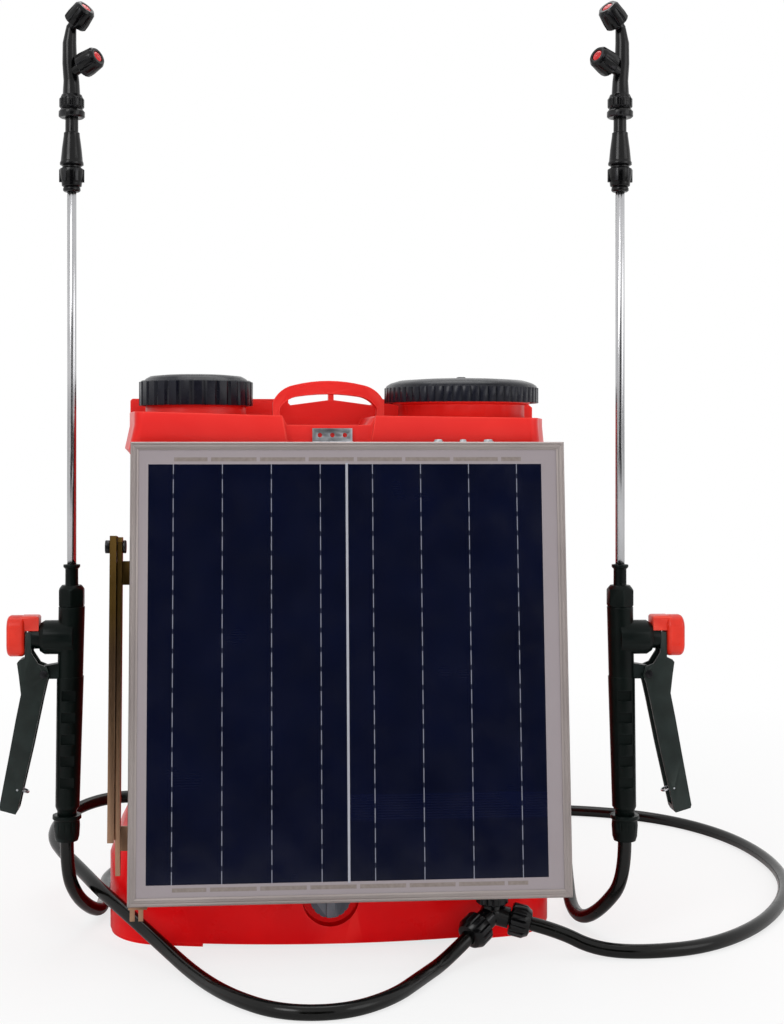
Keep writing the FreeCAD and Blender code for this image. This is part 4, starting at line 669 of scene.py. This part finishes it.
def cellGlass():
    # tempered glass over dark blue-black silicon cells with printed silver dashes and a painted reflection
    # band, on a grey backing sheet;
    # each printed thing, and the painted reflection, is a share of 0 to 1, worked out in panel millimetres,
    # laid over what is under it
    material, tree, surface = newMaterial("cellGlass", {"IOR": 1.5, "Specular IOR Level": 0.28})[:3]
    span = addNode(tree, "UVMap", {"uv_map": "span"})
    at = addNode(tree, "SeparateXYZ", {}, span)
    across, up = at.outputs["X"], at.outputs["Y"]

    def near(value, target, width):
        # 1 where the value lies within half the width of the target, falling to 0 across a soft edge
        away = addNode(tree, "Math", {"operation": "SUBTRACT"}, value, target)
        away = addNode(tree, "Math", {"operation": "ABSOLUTE"}, away)
        inward = addNode(tree, "Math", {"operation": "SUBTRACT"}, width / 2 + cells["soft"], away)
        share = addNode(tree, "Math", {"operation": "DIVIDE"}, inward, 2 * cells["soft"])
        share = addNode(tree, "Math", {"operation": "MAXIMUM"}, 0.0, share)
        return addNode(tree, "Math", {"operation": "SMOOTH_MIN"}, 1.0, share, 0.05)

    def inside(value, low, high):
        # 1 between low and high, and 0 elsewhere
        above = addNode(tree, "Math", {"operation": "GREATER_THAN"}, value, low)
        below = addNode(tree, "Math", {"operation": "LESS_THAN"}, value, high)
        return addNode(tree, "Math", {"operation": "MULTIPLY"}, above, below)

    def inTurn(value, start, pitch, on):
        # 1 over the first part of each pitch from the start, and 0 over the rest
        run = addNode(tree, "Math", {"operation": "SUBTRACT"}, value, start)
        turns = addNode(tree, "Math", {"operation": "DIVIDE"}, run, pitch)
        return addNode(tree, "Math", {"operation": "LESS_THAN"},
                       addNode(tree, "Math", {"operation": "FRACT"}, turns), on)

    cell = addNode(tree, "Math", {"operation": "MULTIPLY"}, inside(across, cells["left"], cells["right"]),
                   inside(up, cells["low"], cells["high"]))
    patch = addNode(tree, "TexNoise", {"Scale": 1 / cells["patchMm"], "Detail": 2.0}, span)
    rightHalf = addNode(tree, "Math", {"operation": "GREATER_THAN"}, across, cells["middle"])
    # painted reflection: a faint bluish band laid into the right-hand cells across the sheen rows
    sheen = addNode(tree, "Math", {"operation": "MULTIPLY"}, rightHalf, cells["paintedReflectionShare"])
    sheen = addNode(tree, "Math", {"operation": "MULTIPLY"}, inside(up, *cells["paintedReflectionRows"]), sheen)
    finger = addNode(tree, "Math", {"operation": "MULTIPLY"}, up, 2 * math.pi / cells["fingerPitch"])
    finger = addNode(tree, "Math", {"operation": "SINE"}, finger)
    finger = addNode(tree, "Math", {"operation": "GREATER_THAN"}, finger, cells["fingerOver"])
    finger = addNode(tree, "Math", {"operation": "MULTIPLY"}, finger, cells["fingerShare"])

    columnStep = (cells["right"] - cells["left"] + cells["middleGap"]) / 2
    columnStart = addNode(tree, "Math", {"operation": "MULTIPLY"}, rightHalf, columnStep)
    columnStart = addNode(tree, "Math", {"operation": "ADD"}, cells["left"], columnStart)
    inColumn = addNode(tree, "Math", {"operation": "SUBTRACT"}, across, columnStart)
    bars = near(inColumn, cells["busbars"][0], cells["busWidth"])
    for busbar in cells["busbars"][1:]:
        bar = near(inColumn, busbar, cells["busWidth"])
        bars = addNode(tree, "Math", {"operation": "MAXIMUM"}, bars, bar)
    line = addNode(tree, "Math", {"operation": "MULTIPLY"}, bars, cell)
    dash = inTurn(up, cells["dashFrom"], cells["dashPitch"], cells["dashOn"])
    dash = addNode(tree, "Math", {"operation": "MULTIPLY"}, dash, cells["dashShare"])
    dash = addNode(tree, "Math", {"operation": "MULTIPLY"}, line, dash)
    line = addNode(tree, "Math", {"operation": "MULTIPLY"}, line, cells["lineShare"])
    seam = addNode(tree, "Math", {"operation": "MULTIPLY"}, near(across, cells["middle"], cells["middleGap"]),
                   inside(up, cells["low"] - 1, cells["high"] + 1))

    ribbon = addNode(tree, "Math", {"operation": "MAXIMUM"},
                     near(up, cells["high"] + ribbons["off"], ribbons["wide"]),
                     near(up, cells["low"] - ribbons["off"], ribbons["wide"]))
    ribbon = addNode(tree, "Math", {"operation": "MULTIPLY"}, ribbon,
                     inTurn(across, ribbons["from"], ribbons["pitch"], ribbons["on"]))
    ribbon = addNode(tree, "Math", {"operation": "MULTIPLY"}, ribbon,
                     inside(across, ribbons["left"], ribbons["right"]))
    ribbon = addNode(tree, "Math", {"operation": "MULTIPLY"}, ribbon, ribbons["share"])
    tinned = addNode(tree, "TexNoise", {"Scale": 1 / ribbons["cloudMm"], "Detail": 4.0}, span)
    tin = addNode(tree, "Mix", {
        "data_type": "RGBA", 6: hexToLinear(ribbons["dull"]), 7: hexToLinear(ribbons["bright"])}, tinned)

    silicon = hexToLinear(cells["dark"])
    # silicon: random blue patches, then the painted reflection band, then the printed fingers
    for share, colour in ((patch, "blue"), (sheen, "sheen"), (finger, "finger")):
        silicon = addNode(tree, "Mix", {
            "data_type": "RGBA", 6: silicon, 7: hexToLinear(cells[colour])}, share).outputs[2]
    base = hexToLinear(cells["backing"])
    lineColour, dashColour, seamColour = [hexToLinear(cells[part]) for part in ("line", "dash", "seam")]
    for share, over in ((cell, silicon), (line, lineColour), (dash, dashColour), (seam, seamColour),
                        (ribbon, tin.outputs[2])):
        base = addNode(tree, "Mix", {"data_type": "RGBA", 6: base, 7: over}, share).outputs[2]
    tree.links.new(base, surface.inputs["Base Color"])

    dust = addNode(tree, "TexNoise", {"Scale": 1 / cells["dustMm"], "Detail": 5.0}, span)
    gloss = addNode(tree, "MapRange", {
        "From Min": 0.35, "From Max": 0.75, "To Min": 0.12, "To Max": 0.24}, dust)
    tree.links.new(gloss.outputs[0], surface.inputs["Roughness"])
    ripple = addNode(tree, "TexNoise", {"Scale": 1 / cells["rippleMm"], "Detail": 1.0}, span)
    lift = addNode(tree, "Bump", {"Strength": 0.06, "Distance": 0.05 * mm, "Height": ripple})
    tree.links.new(lift.outputs[0], surface.inputs["Normal"])
    return material


pieceFrom("cellLaminate", laminateSheet(), cellGlass(), "solar_panel", slotOf["solar_laminate"],
          "solar_laminate")
print("solar panel built")

harness = {
    "x": 0.008, "strapX": 0.076, "samples": 600,
    "spine": [(114.8, 441.0), (150.0, 416.2), (176.0, 329.9), (178.0, 220.1), (164.0, 129.8), (146.0, 78.1),
              (141.0, 46.3)],
    "padWide": 0.052, "padThick": 0.0072, "padFrom": 0.020, "padTo": 0.285, "padTaper": (0.016, 0.020),
    "bindingIn": 0.0045, "bindingWidth": 0.0011, "quiltEvery": 0.046, "quiltWidth": 0.0022,
    "webWide": 0.038, "webThick": 0.0021, "webTuck": 0.018, "webEnd": 0.002,
    "weaveOut": 0.0026, "weaveLong": 0.026, "weaveFade": (0.016, 0.024),
    "loopRadius": 0.0030, "loopThick": 0.0014, "loopLift": 0.0012, "loopTurn": 2.2,
    "upperBar": (0.109, 0.444), "upperJoin": 38, "lowerBar": (0.141, 0.044), "lowerJoin": -14,
}


def runAlong(points):
    # the distance from the first point to each one, chord by chord
    return np.concatenate([[0], np.cumsum(np.linalg.norm(np.diff(points, axis=0), axis=1))])


def waysAlong(line):
    # the unit direction at each point of a line, from its neighbours' difference
    ways = np.gradient(line, axis=0)
    return ways / np.linalg.norm(ways, axis=1, keepdims=True)


def throughPoints(points, count):
    # a natural cubic through the points, by their chord lengths, sampled evenly along it
    points = np.array(points, float)
    run = runAlong(points)
    gap = np.diff(run)
    size = len(points)
    inner = np.arange(1, size - 1)
    matrix = np.eye(size)
    matrix[inner, inner - 1] = gap[:-1]
    matrix[inner, inner] = 2 * (gap[:-1] + gap[1:])
    matrix[inner, inner + 1] = gap[1:]
    jumps = np.zeros((size, points.shape[1]))
    jumps[1:-1] = 6 * np.diff(np.diff(points, axis=0) / gap[:, None], axis=0)
    bend = np.linalg.solve(matrix, jumps)

    def at(s):
        # the cubic's point at each run s, from the bends at the two ends of the stretch it lies in
        k = np.clip(np.searchsorted(run, s) - 1, 0, size - 2)
        ahead, behind = (run[k + 1] - s)[:, None], (s - run[k])[:, None]
        g = gap[k][:, None]
        curved = (bend[k] * ahead ** 3 + bend[k + 1] * behind ** 3) / (6 * g)
        return curved + (points[k] / g - bend[k] * g / 6) * ahead + (
            points[k + 1] / g - bend[k + 1] * g / 6) * behind

    fine = np.linspace(0, run[-1], 2000)
    length = runAlong(at(fine))
    even = np.interp(np.linspace(0, length[-1], count), length, fine)
    return at(even), length[-1]


strapLine, strapLength = throughPoints(np.array(harness["spine"]) * mm, harness["samples"])
strapRun = np.linspace(0, strapLength, harness["samples"])
strapWay = waysAlong(strapLine)


def onStrap(middle, across, along, out):
    # strap places to world places: across the webbing, down its length, and out from its middle line
    across, along, out = np.broadcast_arrays(across, along, out)
    y, z = [np.interp(along, strapRun, strapLine[:, axis]) for axis in (0, 1)]
    wayY, wayZ = [np.interp(along, strapRun, strapWay[:, axis]) for axis in (0, 1)]
    return np.stack([middle + across, y - out * wayZ, z + out * wayY], -1)


def paddedStrap(middle):
    # foam band: a flat oval section, pinched at its bound edges and at each line of quilting,
    # drawn in at both ends
    webHalf, padHalf = harness["webWide"] / 2, harness["padWide"] / 2
    webOut, padOut = harness["webThick"] / 2, harness["padThick"] / 2
    along = np.linspace(harness["padFrom"], harness["padTo"], 320)[:, None]
    angle = roundAngles(72)[None, :]
    upperTaper, lowerTaper = harness["padTaper"]
    end = smoothStep(0, upperTaper, along - harness["padFrom"])
    end = end * smoothStep(0, lowerTaper, harness["padTo"] - along)
    half = webHalf + (padHalf - webHalf) * end
    across = half * signedPower(np.cos(angle), 0.45)
    crown = 0.30 + 0.70 * (1 - (np.abs(across) / half) ** 4)
    seamOff = np.abs(across) - (padHalf - harness["bindingIn"])
    crown = crown - 0.30 * np.exp(-(seamOff / harness["bindingWidth"]) ** 2)
    line = (along - harness["padFrom"]) / harness["quiltEvery"]
    quiltOff = (line - np.round(line)) * harness["quiltEvery"]
    crown = crown * (1 - 0.34 * np.exp(-(quiltOff / harness["quiltWidth"]) ** 2))
    thick = webOut + (padOut - webOut) * (0.25 + 0.75 * end)
    out = thick * crown * signedPower(np.sin(angle), 0.8)
    uv = np.stack(np.broadcast_arrays(across / mm, along / mm), -1)
    return closedTube("paddedStrap", onStrap(middle, across, along, out), uv)


def webBand(line, middle, half, thick):
    # flat webbing along a line in the YZ plane: a rounded flat section carried down it, closed at both ends
    way = waysAlong(line)
    run = runAlong(line)[:, None]
    angle = roundAngles(40)[None, :]
    across = half * signedPower(np.cos(angle), 0.22) + 0 * run
    out = thick / 2 * signedPower(np.sin(angle), 0.5) + 0 * run
    points = np.stack([middle + across, line[:, :1] - out * way[:, 1:], line[:, 1:] + out * way[:, :1]], -1)
    uv = np.stack(np.broadcast_arrays(across / mm, run / mm), -1)
    return closedTube("webBand", points, uv)


def barLoop(bar, towards):
    # the webbing's turn round a bar: from the strap, round the far side and back to the strap,
    # its two legs lifted apart where they meet the strap
    centre, join = np.array(bar), np.array(towards)
    away = centre - join
    start = math.atan2(away[1], away[0])
    turn = np.linspace(start - harness["loopTurn"], start + harness["loopTurn"], 40)
    ring = centre + harness["loopRadius"] * np.stack([np.cos(turn), np.sin(turn)], -1)
    lift = harness["loopLift"] * np.array([-away[1], away[0]]) / np.linalg.norm(away)
    legs = sorted((join + lift, join - lift), key=lambda leg: np.linalg.norm(leg - ring[0]))
    return throughPoints(np.vstack([legs[0], ring[::6], ring[-1:], legs[1]]), 90)[0]


def wovenWeb(middle):
    # webbing below the pad, over the buckle's middle bar and under its two ends, and a loop round each bar
    half = harness["webWide"] / 2
    along = np.linspace(harness["padTo"] - harness["webTuck"], strapLength - harness["webEnd"], 260)
    off = along - buckle["at"]
    wave = np.cos(off * 2 * np.pi / harness["weaveLong"])
    out = harness["weaveOut"] * wave * (1 - smoothStep(*harness["weaveFade"], np.abs(off)))
    bands = [webBand(onStrap(0.0, 0.0, along, out)[:, 1:], middle, half, harness["webThick"])]
    for end in ("lower", "upper"):
        loop = barLoop(harness[end + "Bar"], strapLine[harness[end + "Join"]])
        bands.append(webBand(loop, middle, half, harness["loopThick"]))
    return joinedMesh("wovenWeb", bands)


buckle = {
    "at": 0.312, "halfWide": 0.0235, "halfLong": 0.0130, "square": 0.35, "rimWide": 0.0019, "rimOut": 0.0016,
    "barHalf": 0.0230, "barLong": 0.0016, "barOut": 0.0013,
}


def ladderBuckle(middle):
    # a moulded frame with a middle bar, its rounded section carried round a rounded rectangle on the strap
    turn = roundAngles(120)[:, None]
    around = roundAngles(16)[None, :]
    x = buckle["halfWide"] * signedPower(np.cos(turn), buckle["square"])
    s = buckle["halfLong"] * signedPower(np.sin(turn), buckle["square"])
    tangent = np.stack([np.roll(x, -1, 0) - np.roll(x, 1, 0), np.roll(s, -1, 0) - np.roll(s, 1, 0)], -1)
    tangent /= np.linalg.norm(tangent, axis=-1, keepdims=True)
    wide = buckle["rimWide"] * np.cos(around)
    rimX = x + wide * tangent[..., 1]
    rimS = buckle["at"] + s - wide * tangent[..., 0]
    rim = onStrap(middle, rimX, rimS, buckle["rimOut"] * np.sin(around))
    ring = surfaceMesh("buckleRing", rim, wrapAlong=True)
    across = np.linspace(-buckle["barHalf"], buckle["barHalf"], 24)[:, None]
    bar = onStrap(middle, across, buckle["at"] + buckle["barLong"] * np.cos(around),
                  buckle["barOut"] * np.sin(around))
    return joinedMesh("ladderBuckle", [ring, closedTube("buckleBar", bar)])


stitches = {"pitchMm": 3.6, "on": 0.72, "halfWideMm": 0.42, "colour": "#4a4a4c"}


def fabric(name, look):
    # black polyester: threads crossing at an even spacing, sewn lines in a lighter thread, and a soft sheen;
    # webbing and knit have threads about 0.5 mm apart, which are drawn coarser so that they show
    material, tree, surface, where = newMaterial(name, {
        "IOR": 1.5, "Sheen Weight": look["sheen"], "Sheen Roughness": 0.45, "Specular IOR Level": 0.2,
        "Roughness": 0.82})
    if look["mapped"]:
        places = addNode(tree, "UVMap", {"uv_map": "span"})
    else:
        places = addNode(tree, "VectorMath", {"operation": "SCALE", "Scale": 1000.0}, where)
    at = addNode(tree, "SeparateXYZ", {}, places)
    across, along = at.outputs["X"], at.outputs["Y" if look["mapped"] else "Z"]
    waves = []
    for value, pitch in ((across, look["acrossMm"]), (along, look["alongMm"])):
        phase = addNode(tree, "Math", {"operation": "MULTIPLY"}, value, 2 * math.pi / pitch)
        waves.append(addNode(tree, "Math", {"operation": "SINE"}, phase))
    weave = addNode(tree, "Math", {"operation": "MULTIPLY"}, *waves)
    height = addNode(tree, "Math", {"operation": "MULTIPLY"}, weave, 0.5)
    height = addNode(tree, "Math", {"operation": "ADD"}, height, 0.5)
    tone = addNode(tree, "Mix", {
        "data_type": "RGBA", 6: hexToLinear(look["deep"]), 7: hexToLinear(look["thread"])}, height)
    cloud = addNode(tree, "TexNoise", {"Scale": 1000 / 18, "Detail": 4.0}, where)
    dusty = addNode(tree, "Math", {"operation": "MULTIPLY"}, cloud, 0.22)
    colour = addNode(tree, "Mix", {
        "data_type": "RGBA", 6: tone.outputs[2], 7: hexToLinear(look["dust"])}, dusty).outputs[2]
    if look.get("seamMm"):
        away = addNode(tree, "Math", {"operation": "ABSOLUTE"}, across)
        away = addNode(tree, "Math", {"operation": "SUBTRACT"}, away, look["seamMm"])
        away = addNode(tree, "Math", {"operation": "ABSOLUTE"}, away)
        onLine = addNode(tree, "Math", {"operation": "LESS_THAN"}, away, stitches["halfWideMm"])
        turns = addNode(tree, "Math", {"operation": "DIVIDE"}, along, stitches["pitchMm"])
        turns = addNode(tree, "Math", {"operation": "FRACT"}, turns)
        dash = addNode(tree, "Math", {"operation": "LESS_THAN"}, turns, stitches["on"])
        stitch = addNode(tree, "Math", {"operation": "MULTIPLY"}, onLine, dash)
        colour = addNode(tree, "Mix", {
            "data_type": "RGBA", 6: colour, 7: hexToLinear(stitches["colour"])}, stitch).outputs[2]
        height = addNode(tree, "Math", {"operation": "ADD"}, height, stitch)
    tree.links.new(colour, surface.inputs["Base Color"])
    lift = addNode(tree, "Bump", {"Strength": 0.7, "Distance": look["liftMm"] * mm, "Height": height})
    tree.links.new(lift.outputs[0], surface.inputs["Normal"])
    return material


polyesterWebbing = fabric("polyesterWebbing", {  # flat woven strap, ribs across it
    "mapped": True, "acrossMm": 1.6, "alongMm": 1.3, "deep": "#0d0d0e", "thread": "#1d1d1f",
    "dust": "#3a3937", "sheen": 0.15, "liftMm": 0.25})
knitOverFoam = fabric("knitOverFoam", {  # strap padding: close knit, sewn down at both edges
    "mapped": True, "acrossMm": 2.2, "alongMm": 2.2, "deep": "#0b0b0c", "thread": "#1a1a1d",
    "dust": "#343433", "sheen": 0.25, "liftMm": 0.3, "seamMm": 21.5})
spacerMesh = fabric("spacerMesh", {  # back pad: open mesh over foam, its holes 4 mm apart
    "mapped": False, "acrossMm": 4.2, "alongMm": 4.2, "deep": "#070708", "thread": "#1e1e22",
    "dust": "#383836", "sheen": 0.3, "liftMm": 0.55})

for side, node in ((-1, "left_strap"), (1, "right_strap")):
    middle = harness["x"] + side * harness["strapX"]
    label = node.split("_")[0]
    band = pieceFrom(label + "StrapPad", paddedStrap(middle), knitOverFoam, bodyOf[node], slotOf[node], node)
    pieceFrom(label + "StrapWeb", wovenWeb(middle), polyesterWebbing, bodyOf[node], slotOf[node])
    pieceFrom(label + "StrapBuckle", ladderBuckle(middle), blackAcetal, bodyOf[node], slotOf["strap_hooks"])
print("straps laid", round(strapLength, 3))

pad = {
    "x": 0.008, "wide": 0.194, "foot": 0.1925, "head": 0.3975, "back": 0.0986, "front": 0.1105,
    "voxel": 0.005, "pressure": 4.0, "tension": 25, "bending": 2, "steps": 20, "most": 0.007,
    "borderIn": 0.017, "rungs": (1 / 3, 2 / 3), "seam": 0.0032, "seamDeep": 0.0042,
    "edgeOut": 0.0115, "crown": 0.0072,
}


def padForm():
    # a rounded block: two angles, each power-stretched so that the sides are nearly flat
    up = np.linspace(-np.pi / 2, np.pi / 2, 60)[:, None]
    turn = roundAngles(120)[None, :]
    reach = signedPower(np.cos(up), 0.3)
    x = pad["x"] + pad["wide"] / 2 * reach * signedPower(np.cos(turn), 0.16)
    z = (pad["head"] + pad["foot"]) / 2 + (pad["head"] - pad["foot"]) / 2 * reach * signedPower(
        np.sin(turn), 0.16)
    y = (pad["front"] + pad["back"]) / 2 + (pad["front"] - pad["back"]) / 2 * signedPower(np.sin(up), 0.5)
    return surfaceMesh("padForm", np.stack([x, y + 0 * turn, z], -1))


def meshPlaces(mesh):
    # every vertex's place, one row each
    flat = np.empty(len(mesh.vertices) * 3)
    mesh.vertices.foreach_get("co", flat)
    return flat.reshape(-1, 3)


def settledMesh(thing):
    # the object's mesh as its modifiers leave it
    return bpy.data.meshes.new_from_object(thing.evaluated_get(bpy.context.evaluated_depsgraph_get()))


def swelledPlaces(work, places):
    # the places after the form is blown up as cloth, none of them moved further than the most
    cloth = work.modifiers.new("swell", "CLOTH")
    cloth.settings.effector_weights.gravity = 0
    cloth.settings.use_pressure = True
    cloth.settings.uniform_pressure_force = pad["pressure"]
    cloth.settings.tension_stiffness = pad["tension"]
    cloth.settings.bending_stiffness = pad["bending"]
    for step in range(1, pad["steps"] + 1):
        scene.frame_set(step)
    moved = meshPlaces(settledMesh(work)) - places
    work.modifiers.clear()
    scene.frame_set(1)
    far = np.linalg.norm(moved, axis=1, keepdims=True)
    return places + moved * np.minimum(1, pad["most"] / np.maximum(far, 1e-9))


def sewnPlaces(places):
    # the places drawn in along a border line and two rungs, on the side away from the tank only
    low, high = places.min(0), places.max(0)
    fromLow, fromHigh = places - low, high - places
    edge = np.minimum(np.minimum(fromLow[:, 0], fromHigh[:, 0]), np.minimum(fromLow[:, 2], fromHigh[:, 2]))
    tall = high[2] - low[2]
    lowerRung, upperRung = pad["rungs"]
    rungs = np.minimum(np.abs(fromLow[:, 2] - lowerRung * tall), np.abs(fromLow[:, 2] - upperRung * tall))
    farOff = 1.0
    rungs = np.where(edge > pad["borderIn"], rungs, farOff)
    groove = np.maximum(np.exp(-((edge - pad["borderIn"]) / pad["seam"]) ** 2),
                        np.exp(-(rungs / pad["seam"]) ** 2))
    front = smoothStep(0.35, 0.75, (places[:, 1] - pad["back"]) / (high[1] - pad["back"]))
    places[:, 1] -= pad["seamDeep"] * groove * front
    rise = np.clip(edge / pad["borderIn"], 0, 1) * front
    places[:, 1] = np.minimum(places[:, 1], pad["back"] + pad["edgeOut"] + pad["crown"] * rise)
    return places


def puffedPad():
    # the form is remeshed, swelled as cloth, held back from the tank, then drawn in along its sewn lines
    work = bpy.data.objects.new("padWork", padForm())
    scene.collection.objects.link(work)
    remesh = work.modifiers.new("evenGrid", "REMESH")
    remesh.mode = "VOXEL"
    remesh.voxel_size = pad["voxel"]
    grid = settledMesh(work)
    work.modifiers.clear()
    work.data = grid
    places = meshPlaces(grid)
    places = swelledPlaces(work, places)
    places[:, 1] = np.maximum(places[:, 1], pad["back"])
    grid.vertices.foreach_set("co", places.ravel())
    finer = work.modifiers.new("finer", "SUBSURF")
    finer.levels = finer.render_levels = 1
    mesh = settledMesh(work)
    bpy.data.objects.remove(work)
    mesh.vertices.foreach_set("co", sewnPlaces(meshPlaces(mesh)).ravel())
    mesh.shade_smooth()
    return mesh


backPad = pieceFrom("backPad", puffedPad(), spacerMesh, bodyOf["back_pad"], slotOf["back_pad"], "back_pad")
smoother = backPad.modifiers.new("smoother", "SUBSURF")
smoother.levels = smoother.render_levels = 1
print("back pad swelled")

# nozzle details are in millimetres of each lance's own frame
nozzles = {
    "upper": {"foot": (-0.6, 0.0, 803.4), "way": (0.62, -0.40, 0.675), "rise": 5.0},
    "lower": {"foot": (-0.9, 0.0, 763.0), "way": (0.78, -0.50, 0.37), "rise": 14.0},
}
domedDisc = {
    "face": 17.15,
    "profile": [(0, 0), (4.85, 0), (4.85, 0.45), (4.7, 0.75), (4.2, 1.05), (3.2, 1.38), (2.0, 1.60),
                (0.75, 1.70), (0.5, 1.45), (0, 1.45)],
}
flutedCollar = {
    "profile": [(0, 733.0), (9.7, 733.0), (10.5, 733.5), (10.8, 734.0), (10.8, 735.0), (10.8, 739.6),
                (10.8, 740.6), (10.4, 741.3), (9.8, 741.6), (0, 741.6)],
    "count": 16, "depth": 1.5, "share": 0.42, "from": 733.7, "to": 741.1, "outside": 10.2,
}


def lancePlace(lance, point):
    # a lance's own millimetres to world metres; the right lance is mirrored
    return np.array(lance["place"]) + np.array([lance["side"] * point[0], point[1], point[2]]) * mm


def nozzleDisc(lance, nozzle):
    # the domed disc standing on its nozzle cap's face, its axis along the nozzle's way
    way = np.array(nozzle["way"]) / np.linalg.norm(nozzle["way"])
    foot = lancePlace(lance, np.array(nozzle["foot"]) + way * (nozzle["rise"] + domedDisc["face"]))
    return turnedMesh("domedDisc", np.array(domedDisc["profile"]) * mm, 64, foot,
                      way * np.array([lance["side"], 1, 1]))


def nozzleCollar(lance):
    # the collar's profile turned round the lance's axis, with flutes cut into its outside
    flutes = ribGroove(flutedCollar["count"], flutedCollar["depth"] * mm, flutedCollar["share"],
                       flutedCollar["from"] * mm, flutedCollar["to"] * mm, flutedCollar["outside"] * mm)
    return turnedMesh("flutedCollar", np.array(flutedCollar["profile"], float) * mm, 320,
                      lancePlace(lance, (0, 0, 0)), groove=flutes)


for side, lance in lances.items():
    for level, nozzle in nozzles.items():
        disc = f"{side}_{level}_nozzle_disc"
        pieceFrom(f"{side}{level.title()}DomedDisc", nozzleDisc(lance, nozzle), signalRedDisc, bodyOf[disc],
                  slotOf[disc], disc)
    head = f"{side}_nozzle_head"
    pieceFrom(side + "FlutedCollar", nozzleCollar(lance), blackAcetal, bodyOf[head], slotOf[head])
print("nozzle details added")

# plain fittings: material, edge radius in metres and its segments; a star stands for each lance's side
fittings = {
    "tank_shell": (blownPolyethylene, 0.0030, 3),
    "filler_necks": (blownPolyethylene, 0.0008, 2),
    "base_housing": (mouldedPolypropyleneRed, 0.0022, 3),
    "bottom_cover": (blackPolypropylene, 0.0008, 2),
    "outlet_elbow": (blackAcetal, 0.0008, 2),
    "outlet_tee": (blackAcetal, 0.0008, 2),
    "tee_nuts": (blackAcetal, 0.0004, 2),
    "junction_box": (blackPolypropylene, 0.0015, 2),
    "fill_cap": (blackPolypropylene, 0.0004, 2),
    "small_cap": (blackPolypropylene, 0.0004, 2),
    "*_handle": (glassFilledNylon, 0.0008, 2),
    "*_trigger_lever": (sandedNylon, 0.0018, 3),
    "hose_nuts": (glassFilledNylon, 0.0004, 2),
    "tube_glands": (glassFilledNylon, 0.0005, 2),
    "*_tip_collet": (blackAcetal, 0.0003, 2),
    "*_nozzle_head": (blackAcetal, 0.0003, 2),
    "*_upper_nozzle_cap": (blackAcetal, 0.0003, 2),
    "*_lower_nozzle_cap": (blackAcetal, 0.0003, 2),
    "*_valve_knob": (orangeRedNylon, 0.0006, 2),
    "speed_knob": (greyAcetal, 0.0005, 2),
    "fill_gasket": (softRubber, 0.0003, 2),
    "small_gasket": (softRubber, 0.0003, 2),
    "panel_rests": (softRubber, 0.0008, 2),
    "strainer_basket": (naturalPolypropylene, 0.0004, 2),
    "inner_hoses": (pvcHose, 0.0003, 1),
    "control_electronics": (lacqueredBoard, 0.0002, 1),
    "battery": (blackPolypropylene, 0.0012, 2),
    "pump_motor": (zincPlate, 0.0008, 2),
    "pump_head": (blackPolypropylene, 0.0008, 2),
    "tank_hinge_leaf": (zincPlate, 0.0003, 2),
    "panel_hinge_leaf": (zincPlate, 0.0003, 2),
    "hinge_pin": (zincPlate, 0.0003, 2),
    "cover_screws": (zincPlate, 0.0002, 1),
    "leg_bolts": (blackenedSteel, 0.0005, 2),
    "lever_pins": (blackenedSteel, 0.0003, 2),
    "left_prop_leg": (yellowZinc, 0.0005, 2),
    "frame_brackets": (yellowZinc, 0.0004, 2),
    "*_wand_tube": (drawnStainless, 0.0001, 1),
    "*_lock_hook": (zincPlate, 0.0001, 1),
    "strap_hooks": (blackPolypropylene, 0.0006, 2),
}
for pattern, (finish, edge, segments) in fittings.items():
    for node in dict.fromkeys(pattern.replace("*", side) for side in lances):
        dressedNode(node, finish, edge, segments)
print("fittings dressed")
